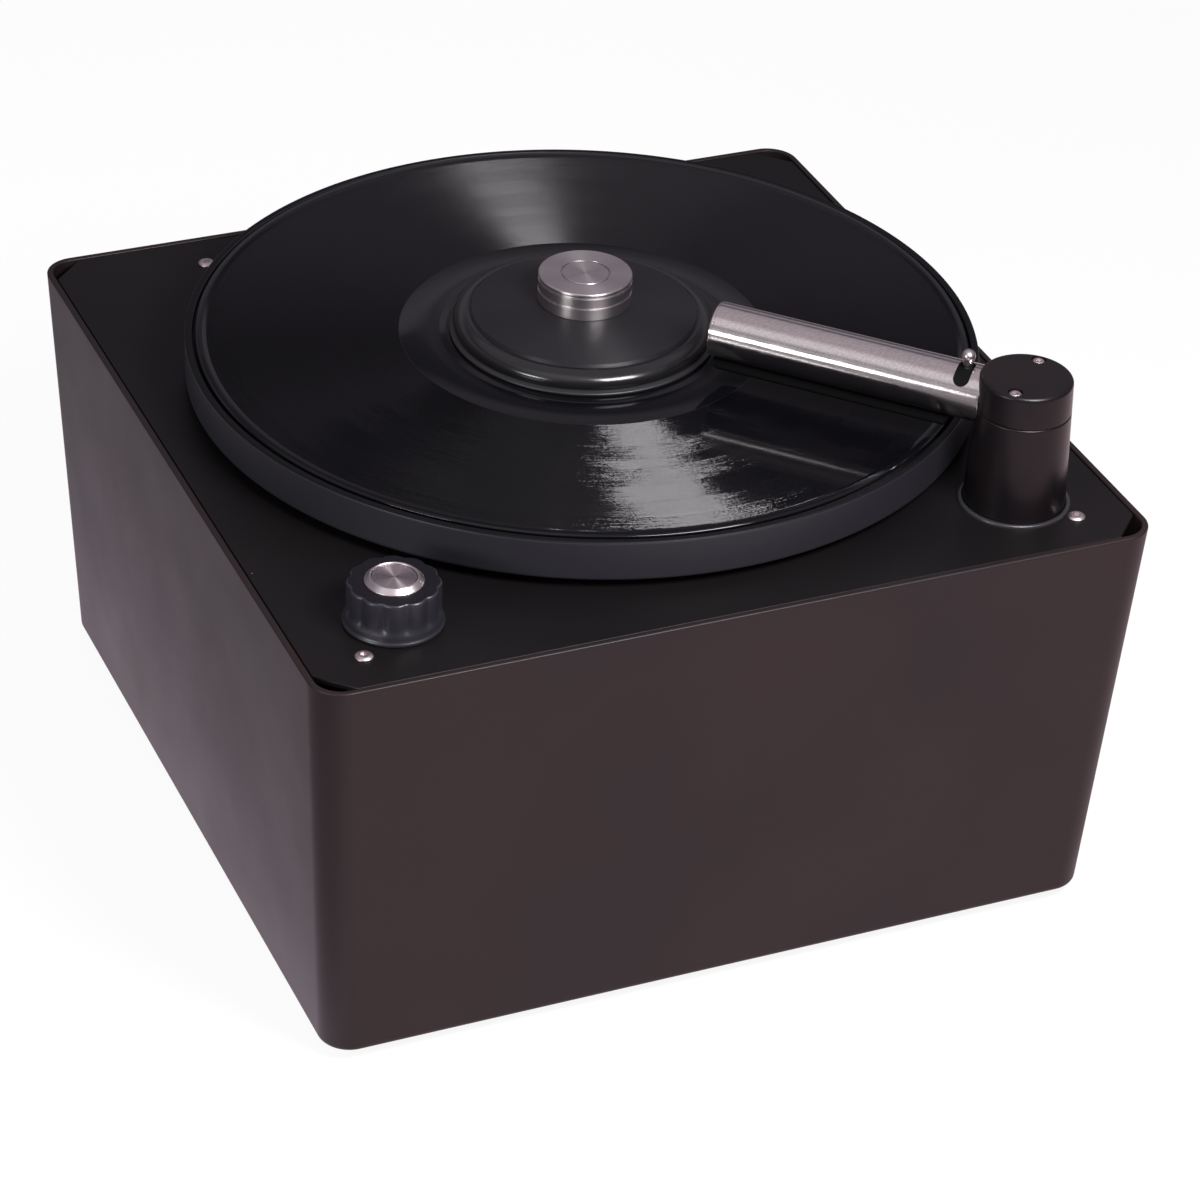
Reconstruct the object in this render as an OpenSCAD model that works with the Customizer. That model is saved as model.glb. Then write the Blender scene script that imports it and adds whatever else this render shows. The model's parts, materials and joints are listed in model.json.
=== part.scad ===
// Record cleaning machine: a tapered sheet casing with a let-in top plate, a driven platter
// with a clamped record, and a suction arm that swings, presses down and twists.
// Millimetres, +Z up, +X to the suction arm's side, -Y to the front. The origin is under the
// middle of the casing, on the surface that the feet stand on.

/* [Casing] */
// Width over the casing's top edge
case_w = 334; // [326:1:350]
// Depth over the casing's top edge
case_d = 334; // [334:1:350]
// Height of the casing from its lower edge to its top edge
case_h = 168; // [160:1:185]
// Lean of each side, measured inwards at the lower edge
case_lean = 8.2; // [7:0.1:9]
// Radius of the standing corners
case_r = 12.5; // [10:0.5:15]
// Thickness of the casing's sheet
wall = 2.5; // [2:0.25:2.75]
// Width of the flange turned in at the lower edge
flange_w = 14; // [12:0.5:15]
// Height of the lower edge above the table
foot_gap = 5; // [5:0.5:8]
// Radius of a rubber foot
foot_r = 15; // [12:0.5:16]
// Distance from the lower edge's side to a foot's centre
foot_inset = 37; // [37:0.5:50]

/* [Top plate] */
// Thickness of the top plate
plate_t = 2.5; // [2:0.25:3]
// Depth of the plate's top below the casing's edge
plate_drop = 0.4; // [0.2:0.1:1]
// Gap between the plate and the casing
plate_gap = 0.4; // [0.2:0.1:0.8]
// Leg of the cut across each of the plate's corners
plate_cut = 12.5; // [10:0.5:14]
// Distance from the side to a front screw
front_screw_x = 24.4; // [20:0.2:30]
// Distance from the front to a front screw
front_screw_y = 21; // [18:0.5:26]
// Distance from the side to a rear screw
rear_screw_x = 64; // [50:0.5:80]
// Distance from the back to a rear screw
rear_screw_y = 22; // [18:0.5:26]
// Radius of a top screw's head
top_head_r = 3.5; // [3:0.1:4]

/* [Platter] */
// Place of the platter's axis to the right of the middle
platter_x = 6.5; // [-5:0.5:8]
// Place of the platter's axis behind the middle
platter_y = 11.6; // [0:0.2:12]
// Radius of the platter
platter_r = 154.8; // [152:0.2:155]
// Thickness of the platter's rim
platter_t = 16.4; // [14:0.2:20]
// Gap between the top plate and the platter
platter_gap = 4; // [4:0.5:6]
// Width of the rim beside the record's recess
rim_w = 2.8; // [2:0.1:3]
// Depth of the recess that takes mat and record
recess_d = 3.3; // [3:0.1:4]
// Thickness of the mat
mat_t = 2; // [1.5:0.1:3]
// Radius of the record
record_r = 150.8; // [148:0.1:151]
// Thickness of the record
record_t = 1.8; // [1.4:0.1:2.2]
// Radius of the spindle where the record sits
spindle_r = 3.6; // [3.5:0.05:3.8]

/* [Record clamp] */
// Outer radius of the clamp's rubber lip
lip_r = 52.5; // [48:0.5:55]
// Radius of the clamp disc's upper edge
disc_r = 47.8; // [44:0.2:49]
// Height of the disc's upper edge above the record
disc_edge_h = 8; // [7:0.5:9]
// Height of the knob's seat above the record
dome_h = 13.9; // [12:0.1:16]
// Radius of the clamp's steel knob
grip_r = 18.3; // [15:0.1:22]
// Height of the clamp's steel knob
grip_h = 11.5; // [9:0.5:14]

/* [Suction arm] */
// Distance from the right side to the turret's axis
turret_x = 41.2; // [40:0.2:50]
// Distance from the front to the turret's axis
turret_y = 40; // [40:0.2:50]
// Height of the turret above the plate
turret_h = 54; // [54:0.5:60]
// Radius of the turret at the plate
turret_foot_r = 19.5; // [19:0.1:20.5]
// Radius of the turret at its top
turret_top_r = 17.5; // [17.4:0.1:18.5]
// Height of the suction tube's axis above the plate
tube_h = 41.8; // [41:0.2:44]
// Outer radius of the suction tube
tube_r = 10.8; // [10:0.1:11]
// Wall of the suction tube
tube_wall = 1.2; // [0.8:0.1:1.4]
// Distance from the turret's axis to the tube's free end
tube_reach = 123.5; // [115:0.5:125]
// Direction of the tube at rest, from +X towards +Y
arm_angle = 133.8; // [130:0.2:140]
// How far the pads stand out from the tube
pad_t = 4.2; // [3:0.1:4.5]
// How far the arm can be pressed down
press = 5.4; // [4.5:0.1:5.4]
// How far the tube can be twisted
twist = 40; // [30:1:45]
// Distance from the turret's axis to the stop pin
pin_t = 23.2; // [22.5:0.1:26]
// Width of the slot that the stop pin stands in
pin_slot = 6.2; // [5.8:0.1:6.6]

/* [Controls] */
// Distance from the left side to the control knob's axis
knob_x = 42.5; // [38:0.5:50]
// Distance from the front to the control knob's axis
knob_y = 39.5; // [38:0.5:50]
// Radius of the control knob's skirt
knob_r = 18.6; // [17.5:0.1:20]
// Height of the control knob above the plate
knob_h = 17; // [15.5:0.5:20]
// Number of lobes round the knob
lobes = 12; // [8:1:16]
// Radius of the push button in the knob
button_r = 8.2; // [7.5:0.1:8.5]
// Travel of the push button
button_press = 1.5; // [1:0.1:2]

/* [Inside] */
// Radius of the gearbox under the platter
gearbox_r = 37; // [34:0.5:38]
// Radius of the motor under the gearbox
motor_r = 29; // [25:0.5:31]
// Inner radius of the hoses
hose_r = 11.1; // [11:0.1:11.4]
// Wall of the hoses
hose_wall = 2.4; // [2:0.1:3]
// Radius of the hoses' bends
bend_r = 24; // [22:0.5:25]
// Gap between the waste tank and the base screws behind it
tank_clear = 2.3; // [1:0.1:8]
// Width of the waste tank
tank_w = 84; // [78:1:86]
// Height of the waste tank with its lid
tank_h = 92; // [86:1:100]
// Wall of the waste tank
tank_wall = 3; // [2:0.25:3.5]
// Radius of the blower's fan case
blower_r = 55; // [50:0.5:56]
// Height of the blower's axis above the table
blower_z = 72; // [70:0.5:76]
// Gap between the blower's fan case and the casing's left side
blower_side = 9.6; // [4:0.2:12]

/* [Hidden] */
$fn = 96;

// Heights of the casing and its plates
rim_z = foot_gap + case_h;
plate_z = rim_z - plate_drop;
under_z = plate_z - plate_t;
base_z = foot_gap + wall;
base_t = 2;
deck_z = base_z + base_t;
lean_angle = atan(case_lean / case_h);
seat_gap = 0.3;
hole_gap = 0.2;
run_gap = 0.05;
over = 1;

// Half width and half depth of the casing at a height
function half_w(z) = case_w / 2 - case_lean * (rim_z - z) / case_h;
function half_d(z) = case_d / 2 - case_lean * (rim_z - z) / case_h;

// Points of an arc about a centre
function arc(c, r, a0, a1, n) =
    [for (i = [0:n]) c + r * [cos(a0 + (a1 - a0) * i / n), sin(a0 + (a1 - a0) * i / n)]];

// Outline of a rounded rectangle at a height, as points in space
corner_steps = 12;
function ring(hx, hy, r, z) = [for (k = [0:3], i = [0:corner_steps])
    let (a = 90 * k + 90 * i / corner_steps,
         sx = (k == 0 || k == 3) ? 1 : -1, sy = (k < 2) ? 1 : -1)
    [sx * (hx - r) + r * cos(a), sy * (hy - r) + r * sin(a), z]];

// Solid between two such outlines
module loft(lower, upper) {
    n = len(lower);
    polyhedron(points = concat(lower, upper), faces = concat(
        [[for (i = [0:n - 1]) i]],
        [[for (i = [n - 1:-1:0]) n + i]],
        [for (i = [0:n - 1]) [i, n + i, n + (i + 1) % n, (i + 1) % n]]));
}

module casing_form(inset, z0, z1, r) {
    loft(ring(half_w(z0) - inset, half_d(z0) - inset, r, z0),
         ring(half_w(z1) - inset, half_d(z1) - inset, r, z1));
}

module pipe(r, inner, h) {
    difference() {
        cylinder(r = r, h = h);
        translate([0, 0, -over]) cylinder(r = inner, h = h + 2 * over);
    }
}

module screw(head_r, head_h, shank_r, length) {
    rotate_extrude() polygon(concat([[0, -length], [shank_r, -length], [shank_r, 0], [head_r, 0]],
        arc([head_r - head_h * 0.8, head_h * 0.2], head_h * 0.8, 0, 90, 4), [[0, head_h]]));
}

module mirrored_x() {
    children();
    mirror([1, 0, 0]) children();
}

module on_four(x, y) {
    for (sx = [-1, 1], sy = [-1, 1]) translate([sx * x, sy * y, 0]) children();
}

module round_plate(hx, hy, r, h) {
    linear_extrude(h) {
        square([2 * hx, 2 * (hy - r)], center = true);
        square([2 * (hx - r), 2 * hy], center = true);
        for (sx = [-1, 1], sy = [-1, 1]) translate([sx * (hx - r), sy * (hy - r)]) circle(r);
    }
}

// Places that more than one piece uses
module at_platter() {
    translate([platter_x, platter_y, 0]) children();
}
module at_turret() {
    translate([case_w / 2 - turret_x, turret_y - case_d / 2, 0]) children();
}
module at_knob() {
    translate([knob_x - case_w / 2, knob_y - case_d / 2, plate_z]) children();
}
module at_top_screws() {
    mirrored_x() {
        translate([case_w / 2 - front_screw_x, front_screw_y - case_d / 2, 0]) children();
        translate([case_w / 2 - rear_screw_x, case_d / 2 - rear_screw_y, 0]) children();
    }
}

// Frame on the outside of the rear wall, +Y out of the wall
module on_rear(x, z) {
    translate([x, half_d(z), z]) rotate([-lean_angle, 0, 0]) children();
}

// Fittings in the rear wall
inlet_x = 2;
fitting_z = 46;
rocker_x = 42;
inlet_w = 27;
inlet_tall = 19.6;
inlet_flange_w = 48;
inlet_flange_h = 24;
inlet_depth = 24;
rocker_w = 13;
rocker_tall = 19.4;
rocker_depth = 20;
rocker_flange_w = 15;
rocker_flange_h = 21;
fitting_flange = 1.8;
louvre_count = 9;
louvre_pitch = 8;
louvre_w = 3;
louvre_h = 38;
blower_x = wall + blower_r + blower_side - half_w(blower_z);

// Casing
base_screw_in = wall + flange_w / 2;
base_screw_r = 2;
module at_base_screws() {
    x = half_w(foot_gap) - base_screw_in;
    y = half_d(foot_gap) - base_screw_in;
    on_four(x, y / 2) children();
    on_four(x / 2, y) children();
}
module at_feet() {
    on_four(half_w(foot_gap) - foot_inset, half_d(foot_gap) - foot_inset) children();
}

spout_r = 6;
spout_z = 22;
spout_out = 4.6;
spout_wall = 2;
spout_neck_r = 5.4;
spout_l = 3.8;
spout_end = half_d(spout_z) + spout_out;
drain_x = 108;
module housing() {
    open_r = case_r - wall;
    color([0.16, 0.14, 0.15]) difference() {
        casing_form(0, foot_gap, rim_z, case_r);
        casing_form(wall, base_z, rim_z + over, open_r);
        translate([0, 0, foot_gap - over])
            round_plate(half_w(foot_gap) - wall - flange_w, half_d(foot_gap) - wall - flange_w,
                open_r, wall + 2 * over);
        at_base_screws() translate([0, 0, foot_gap - over])
            cylinder(r = base_screw_r + hole_gap, h = wall + 2 * over);
        on_rear(inlet_x, fitting_z)
            cube([inlet_w + 2 * hole_gap, 4 * wall, inlet_tall + 2 * hole_gap], center = true);
        on_rear(rocker_x, fitting_z)
            cube([rocker_w + 2 * hole_gap, 4 * wall, rocker_tall + 2 * hole_gap], center = true);
        translate([drain_x, half_d(spout_z), spout_z]) rotate([90, 0, 0])
            cylinder(r = spout_r + hole_gap, h = 6 * wall, center = true);
        for (i = [0:louvre_count - 1])
            on_rear(blower_x + (i - (louvre_count - 1) / 2) * louvre_pitch, blower_z)
                cube([louvre_w, 4 * wall, louvre_h], center = true);
    }
}

// Base plate on the casing's flange, with its screws and feet
vent_count = 8;
vent_pitch = 9;
vent_l = 60;
foot_screw_r = 2;
module base_plate() {
    gap = 0.8;
    hx = half_w(base_z) - wall - gap;
    hy = half_d(base_z) - wall - gap;
    color([0.5, 0.51, 0.53]) translate([0, 0, base_z]) difference() {
        round_plate(hx, hy, case_r - wall, base_t);
        translate([0, 0, -over]) {
            at_base_screws() cylinder(r = base_screw_r + hole_gap, h = base_t + 2 * over);
            at_feet() cylinder(r = foot_screw_r + hole_gap, h = base_t + 2 * over);
            for (i = [0:vent_count - 1])
                translate([platter_x + (i - (vent_count - 1) / 2) * vent_pitch, 105, 0])
                    linear_extrude(base_t + 2 * over) {
                        square([4, vent_l], center = true);
                        for (s = [-1, 1]) translate([0, s * vent_l / 2]) circle(2);
                    }
        }
    }
}

base_head_h = 2;
module base_screws() {
    color([0.62, 0.63, 0.65]) at_base_screws() translate([0, 0, foot_gap])
        mirror([0, 0, 1]) screw(3.6, base_head_h, base_screw_r, wall + base_t + 3);
}

foot_recess_r = 5.5;
foot_recess_h = 4;
module rubber_feet() {
    color([0.07, 0.07, 0.07]) at_feet() rotate_extrude() polygon(concat(
        [[foot_recess_r, 0], [foot_r - 2.5, 0]],
        arc([foot_r - 2.8, 1.5], 1.5, -60, 0, 4),
        [[foot_r, base_z], [foot_screw_r + hole_gap, base_z],
         [foot_screw_r + hole_gap, foot_recess_h], [foot_recess_r, foot_recess_h]]));
}

module foot_screws() {
    color([0.62, 0.63, 0.65]) at_feet() translate([0, 0, foot_recess_h])
        mirror([0, 0, 1]) screw(4, 2.2, foot_screw_r, base_z - foot_recess_h + base_t);
}

// Brackets that carry the top plate
bracket_t = 2.5;
bracket_w = 26;
bracket_drop = 24;
bracket_end_r = 4;
top_screw_r = 2;
module bracket(inset, hole_in) {
    lean = bracket_drop * tan(lean_angle);
    difference() {
        union() {
            rotate([90, 0, 90]) translate([0, 0, -bracket_w / 2]) linear_extrude(bracket_w)
                polygon([[-inset - bracket_t, 0], [-inset, 0],
                    [-inset - lean, -bracket_drop], [-inset - lean - bracket_t, -bracket_drop]]);
            translate([0, 0, -bracket_t]) linear_extrude(bracket_t) {
                polygon([[-bracket_w / 2, -inset - 0.8], [-bracket_end_r, -hole_in],
                    [bracket_end_r, -hole_in], [bracket_w / 2, -inset - 0.8]]);
                translate([0, -hole_in]) circle(bracket_end_r);
            }
            translate([0, -hole_in, -bracket_t - 3]) cylinder(r = bracket_end_r - 0.5, h = 4);
        }
        translate([0, -hole_in, -bracket_t - 3 - over])
            cylinder(r = top_screw_r + run_gap, h = 3 + bracket_t + 2 * over);
    }
}

module corner_brackets() {
    inset = wall + seat_gap;
    color([0.5, 0.51, 0.53]) mirrored_x() {
        translate([case_w / 2 - front_screw_x, -half_d(under_z), under_z]) mirror([0, 1, 0])
            bracket(inset, front_screw_y - case_d / 2 + half_d(under_z));
        translate([case_w / 2 - rear_screw_x, half_d(under_z), under_z])
            bracket(inset, rear_screw_y - case_d / 2 + half_d(under_z));
    }
}

// Bearing, turret and switch holes and studs follow the pieces that sit in them
collar_r = 16;
bearing_flange_r = 36;
bearing_bolt_r = 27;
bearing_screw_r = 2;
ring_in_r = turret_foot_r + 0.15;
ring_out_r = turret_foot_r + 0.9;
sleeve_flange_r = 31;
stud_circle_r = 27;
stud_r = 2;
stud_l = 8;
// Direction from the turret to the nearest front screw, where the sleeve's flange is cut flat
corner_a = -atan((turret_y - front_screw_y) / (turret_x - front_screw_x));
stud_angles = [for (k = [-1:1]) corner_a + 180 + 80 * k];
bush_r = 4.8;
sleeve_flange_t = 3;

module top_plate() {
    hx = half_w(under_z) - wall - plate_gap;
    hy = half_d(under_z) - wall - plate_gap;
    cut = plate_cut;
    color([0.14, 0.14, 0.15]) {
        difference() {
            translate([0, 0, under_z]) linear_extrude(plate_t) polygon([[-hx + cut, -hy],
                [hx - cut, -hy], [hx, -hy + cut], [hx, hy - cut], [hx - cut, hy],
                [-hx + cut, hy], [-hx, hy - cut], [-hx, -hy + cut]]);
            translate([0, 0, under_z - over]) {
                at_top_screws() cylinder(r = top_screw_r + hole_gap, h = plate_t + 2 * over);
                at_platter() {
                    cylinder(r = collar_r + hole_gap, h = plate_t + 2 * over);
                    for (a = [45:90:315]) rotate([0, 0, a]) translate([bearing_bolt_r, 0, 0])
                        cylinder(r = bearing_screw_r + hole_gap, h = plate_t + 2 * over);
                }
                at_turret() cylinder(r = ring_out_r, h = plate_t + 2 * over);
            }
            at_knob() translate([0, 0, -plate_t - over])
                cylinder(r = bush_r + hole_gap, h = plate_t + 2 * over);
        }
        at_turret() for (a = stud_angles) rotate([0, 0, a])
            translate([stud_circle_r, 0, under_z - stud_l]) cylinder(r = stud_r, h = stud_l);
    }
}

module top_plate_screws() {
    color([0.78, 0.77, 0.75]) translate([0, 0, plate_z]) at_top_screws()
        screw(top_head_r, 2.1, top_screw_r, plate_t + bracket_t + 5);
}

// Platter bearing, under the top plate
platter_z = plate_z + platter_gap;
platter_top = platter_z + platter_t;
recess_z = platter_top - recess_d;
mat_z = recess_z + mat_t;
record_z = mat_z + record_t;
hub_t = 2;
hub_r = 22;
washer_t = platter_gap - hub_t - 1 - 0.2;
journal_r = 6;
barrel_r = 14;
barrel_bottom = 118;
bush_wall = 4;
bush_l = 12;
bearing_flange_t = 5;

module bearing_housing() {
    color([0.6, 0.61, 0.63]) at_platter() difference() {
        union() {
            translate([0, 0, barrel_bottom]) cylinder(r = barrel_r, h = under_z - barrel_bottom);
            translate([0, 0, under_z - bearing_flange_t])
                cylinder(r = bearing_flange_r, h = bearing_flange_t);
            translate([0, 0, under_z - bearing_flange_t])
                cylinder(r = collar_r, h = plate_z + 1 - under_z + bearing_flange_t);
        }
        translate([0, 0, barrel_bottom - over])
            cylinder(r = journal_r + 1, h = plate_z - barrel_bottom + 3 * over);
        translate([0, 0, barrel_bottom - over])
            cylinder(r = journal_r + bush_wall, h = bush_l + over);
        translate([0, 0, plate_z + 1 - bush_l])
            cylinder(r = journal_r + bush_wall, h = bush_l + over);
        for (a = [45:90:315]) rotate([0, 0, a])
            translate([bearing_bolt_r, 0, under_z - bearing_flange_t - over])
                cylinder(r = bearing_screw_r + run_gap, h = bearing_flange_t + 2 * over);
    }
}

module bearing_screws() {
    color([0.62, 0.63, 0.65]) at_platter() for (a = [45:90:315]) rotate([0, 0, a])
        translate([bearing_bolt_r, 0, plate_z])
            screw(3.4, 1.4, bearing_screw_r, plate_t + bearing_flange_t + 2);
}

module bearing_bushes() {
    color([0.72, 0.52, 0.28]) at_platter() {
        for (z = [barrel_bottom, plate_z + 1 - bush_l]) translate([0, 0, z])
            pipe(journal_r + bush_wall, journal_r + run_gap, bush_l);
    }
}

module thrust_washer() {
    color([0.9, 0.9, 0.87]) at_platter() translate([0, 0, plate_z + 1])
        pipe(journal_r + bush_wall, journal_r + 0.3, washer_t);
}

// Spindle from the coupling up into the clamp
spindle_bottom = 104;
spindle_rise = 16;
hub_screw_circle = 16;
hub_screw_r = 1.6;
hub_boss_r = 8;
module at_hub_screws() {
    for (a = [0:120:240]) rotate([0, 0, a]) translate([hub_screw_circle, 0, 0]) children();
}
module spindle() {
    color([0.75, 0.75, 0.76]) at_platter() difference() {
        union() {
            translate([0, 0, spindle_bottom]) cylinder(r = journal_r, h = platter_z - spindle_bottom);
            translate([0, 0, platter_z - hub_t]) cylinder(r = hub_r, h = hub_t);
            translate([0, 0, platter_z]) cylinder(r = hub_boss_r, h = recess_z - platter_z);
            translate([0, 0, recess_z]) cylinder(r = spindle_r, h = record_z - recess_z + spindle_rise - 2);
            translate([0, 0, record_z + spindle_rise - 2]) cylinder(r1 = spindle_r, r2 = 2.4, h = 2);
        }
        at_hub_screws() translate([0, 0, platter_z - hub_t - over])
            cylinder(r = hub_screw_r + run_gap, h = hub_t + 2 * over);
    }
}

// Turned platter with a hollow underside
web_z = platter_z + 8;
rim_in = platter_r - rim_w;
module platter() {
    edge = 1.2;
    color([0.1, 0.1, 0.11]) at_platter() difference() {
        rotate_extrude($fn = 180) polygon(concat(
            [[hub_boss_r + run_gap, platter_z], [hub_r + 8, platter_z], [hub_r + 12, web_z],
             [platter_r - 18, web_z], [platter_r - 14, platter_z]],
            arc([platter_r - edge, platter_z + edge], edge, -90, 0, 4),
            arc([platter_r - edge, platter_top - edge], edge, 0, 90, 4),
            [[rim_in + 0.5, platter_top], [rim_in, platter_top - 0.5],
             [rim_in, recess_z], [hub_boss_r + run_gap, recess_z]]));
        at_hub_screws() {
            translate([0, 0, platter_z - over]) cylinder(r = hub_screw_r + hole_gap, h = platter_t);
            translate([0, 0, recess_z - 3]) cylinder(r = 3.4, h = 3 + over);
        }
    }
}

module platter_screws() {
    color([0.62, 0.63, 0.65]) at_platter() at_hub_screws() translate([0, 0, recess_z - 3])
        screw(3, 2, hub_screw_r, recess_z - 3 - platter_z + hub_t);
}

module platter_mat() {
    color([0.2, 0.2, 0.21]) at_platter() translate([0, 0, recess_z]) difference() {
        cylinder(r = record_r - 1.8, h = mat_t, $fn = 180);
        translate([0, 0, -over]) cylinder(r = spindle_r + 0.4, h = mat_t + 2 * over);
    }
}

// Record with its raised edge and label ground
module record() {
    thin = 0.5;
    label_r = 50;
    color([0.05, 0.05, 0.06]) at_platter() rotate_extrude($fn = 180) polygon([
        [spindle_r + run_gap, mat_z], [record_r - 0.6, mat_z], [record_r, mat_z + 0.6],
        [record_r, record_z - 0.6], [record_r - 0.6, record_z], [record_r - 3, record_z],
        [record_r - 5, record_z - thin], [label_r + 6, record_z - thin],
        [label_r + 3, record_z], [spindle_r + run_gap, record_z]]);
}

// Record clamp: rubber lip, domed disc and steel knob
lip_h = 2.6;
lip_in_r = lip_r - 14;
grip_spigot_r = 8;
clamp_bore = spindle_r + 0.1;
module clamp_pad() {
    color([0.08, 0.08, 0.08]) at_platter() translate([0, 0, record_z]) rotate_extrude()
        polygon(concat([[lip_in_r, 0]], arc([lip_r - 1.1, 1.1], 1.1, -90, 60, 6),
            [[disc_r + 1.4, lip_h], [lip_in_r, lip_h]]));
}

module clamp_disc() {
    bead = 1.1;
    bead_r = disc_r + 2.2;
    dome_r = ((disc_r - grip_r) ^ 2 + (dome_h - disc_edge_h) ^ 2) / (dome_h - disc_edge_h) / 2;
    dome_a = 2 * atan((dome_h - disc_edge_h) / (disc_r - grip_r));
    color([0.1, 0.1, 0.11]) at_platter() translate([0, 0, record_z]) rotate_extrude() polygon(concat(
        [[grip_spigot_r + run_gap, 5], [lip_in_r - 6, 5], [lip_in_r - 3, lip_h], [disc_r + 1, lip_h]],
        arc([bead_r, lip_h + bead + 0.4], bead, -80, 80, 6),
        [[disc_r + 0.6, lip_h + 2 * bead + 0.5], [disc_r - 0.4, lip_h + 2 * bead + 1.1],
         [disc_r, lip_h + 2 * bead + 1.7], [disc_r, disc_edge_h - 0.7], [disc_r - 0.5, disc_edge_h]],
        [for (i = [1:8]) let (a = dome_a * (1 - i / 8))
            [grip_r + dome_r * sin(a), dome_h - dome_r * (1 - cos(a))]],
        [[grip_spigot_r + run_gap, dome_h]]));
}

module clamp_knob() {
    groove = 0.45;
    low_groove = grip_h - 6.2;
    top_groove = grip_h - 1.8;
    cup_r = 9.7;
    color([0.82, 0.8, 0.79]) at_platter() translate([0, 0, record_z + dome_h]) rotate_extrude()
        polygon([[clamp_bore, 5 - dome_h], [grip_spigot_r, 5 - dome_h], [grip_spigot_r, 0],
            [grip_r - 0.4, 0], [grip_r, 0.4], [grip_r, low_groove - 0.4],
            [grip_r - groove, low_groove - 0.2], [grip_r - groove, low_groove + 0.2],
            [grip_r, low_groove + 0.4], [grip_r, top_groove - 0.4],
            [grip_r - groove, top_groove - 0.2], [grip_r - groove, top_groove + 0.2],
            [grip_r, top_groove + 0.4], [grip_r, grip_h - 0.6], [grip_r - 0.6, grip_h],
            [cup_r, grip_h], [cup_r - 0.7, grip_h - 1.1], [0, grip_h - 1.1],
            [0, spindle_rise - dome_h + 2], [clamp_bore, spindle_rise - dome_h + 1]]);
}

// Gearmotor hung under the bearing
gearbox_top = 88;
gearbox_t = 28;
motor_t = 38;
shaft_r = 4;
shaft_l = 28.5;
shaft_sunk = 14;
shaft_top = gearbox_top - shaft_sunk + shaft_l;
coupling_bottom = 92;
coupling_top = 114;
coupling_r = 11;
grub_r = 1.6;
grub_in = 5;
pillar_circle = 31;
pillar_r = 4;
module drive_coupling() {
    split = shaft_top + 0.5;
    color([0.6, 0.61, 0.63]) at_platter() difference() {
        translate([0, 0, coupling_bottom])
            cylinder(r = coupling_r, h = coupling_top - coupling_bottom);
        translate([0, 0, coupling_bottom - over]) cylinder(r = shaft_r, h = 20);
        translate([0, 0, split]) cylinder(r = journal_r, h = 20);
        for (z = [coupling_bottom + grub_in, coupling_top - grub_in])
            translate([0, 0, z]) rotate([0, 90, 0]) cylinder(r = grub_r, h = coupling_r + over);
    }
}

module gearbox_shaft() {
    color([0.75, 0.75, 0.76]) at_platter() translate([0, 0, gearbox_top - shaft_sunk])
        cylinder(r = shaft_r, h = shaft_l);
}

module gearbox_case() {
    color([0.45, 0.46, 0.48]) at_platter() difference() {
        union() {
            translate([0, 0, gearbox_top - gearbox_t]) cylinder(r = gearbox_r, h = gearbox_t - 1);
            translate([0, 0, gearbox_top - 1]) cylinder(r = gearbox_r - 1, h = 1);
            translate([0, 0, gearbox_top - 1]) cylinder(r = 9, h = 3.5);
        }
        translate([0, 0, gearbox_top - shaft_sunk - seat_gap])
            cylinder(r = shaft_r + run_gap, h = shaft_l);
        for (a = [0:60:300]) rotate([0, 0, a + 30]) translate([gearbox_r + 1, 0, 0])
            cylinder(r = 3, h = gearbox_top + over);
    }
}

module motor_can() {
    z0 = gearbox_top - gearbox_t - motor_t;
    color([0.55, 0.56, 0.58]) at_platter() {
        difference() {
            translate([0, 0, z0]) rotate_extrude() polygon([[0, 0], [motor_r - 3, 0],
                [motor_r, 3], [motor_r, motor_t], [0, motor_t]]);
            for (a = [0:45:315]) rotate([0, 0, a]) translate([motor_r - 12, 0, z0 - over])
                cylinder(r = 3, h = 3);
        }
        translate([motor_r - 2, -9, z0 + 12]) cube([8, 18, 14]);
    }
}

module motor_pillars() {
    color([0.66, 0.66, 0.67]) at_platter() for (a = [0:90:270]) rotate([0, 0, a])
        translate([pillar_circle, 0, gearbox_top])
            cylinder(r = pillar_r, h = under_z - bearing_flange_t - gearbox_top, $fn = 6);
}

// Turret: fixed sleeve, spring cup, spring and the moving post
sleeve_depth = 62.1;
sleeve_bottom = under_z - sleeve_depth;
sleeve_floor = 3;
sleeve_bore = turret_foot_r + 0.06;
sleeve_wall = 1.4;
post_sunk = 26;
post_bottom = plate_z - post_sunk;
tail_r = 8.6;
tail_in = 7;
seal_seat_r = tail_r - 1.1;
seal_groove = 1.8;
spigot_in = 9;
spigot_l = 18;
seal_heights = [sleeve_bottom - 8, sleeve_bottom - 4];
cup_z = sleeve_bottom + sleeve_floor + 0.1;
cup_t = 2;
seam_z = plate_z + tube_h - 1.2;
tube_z = plate_z + tube_h;
turret_top = plate_z + turret_h;
function turret_r(z) = turret_foot_r - (turret_foot_r - turret_top_r) * (z - plate_z) / turret_h;

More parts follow.
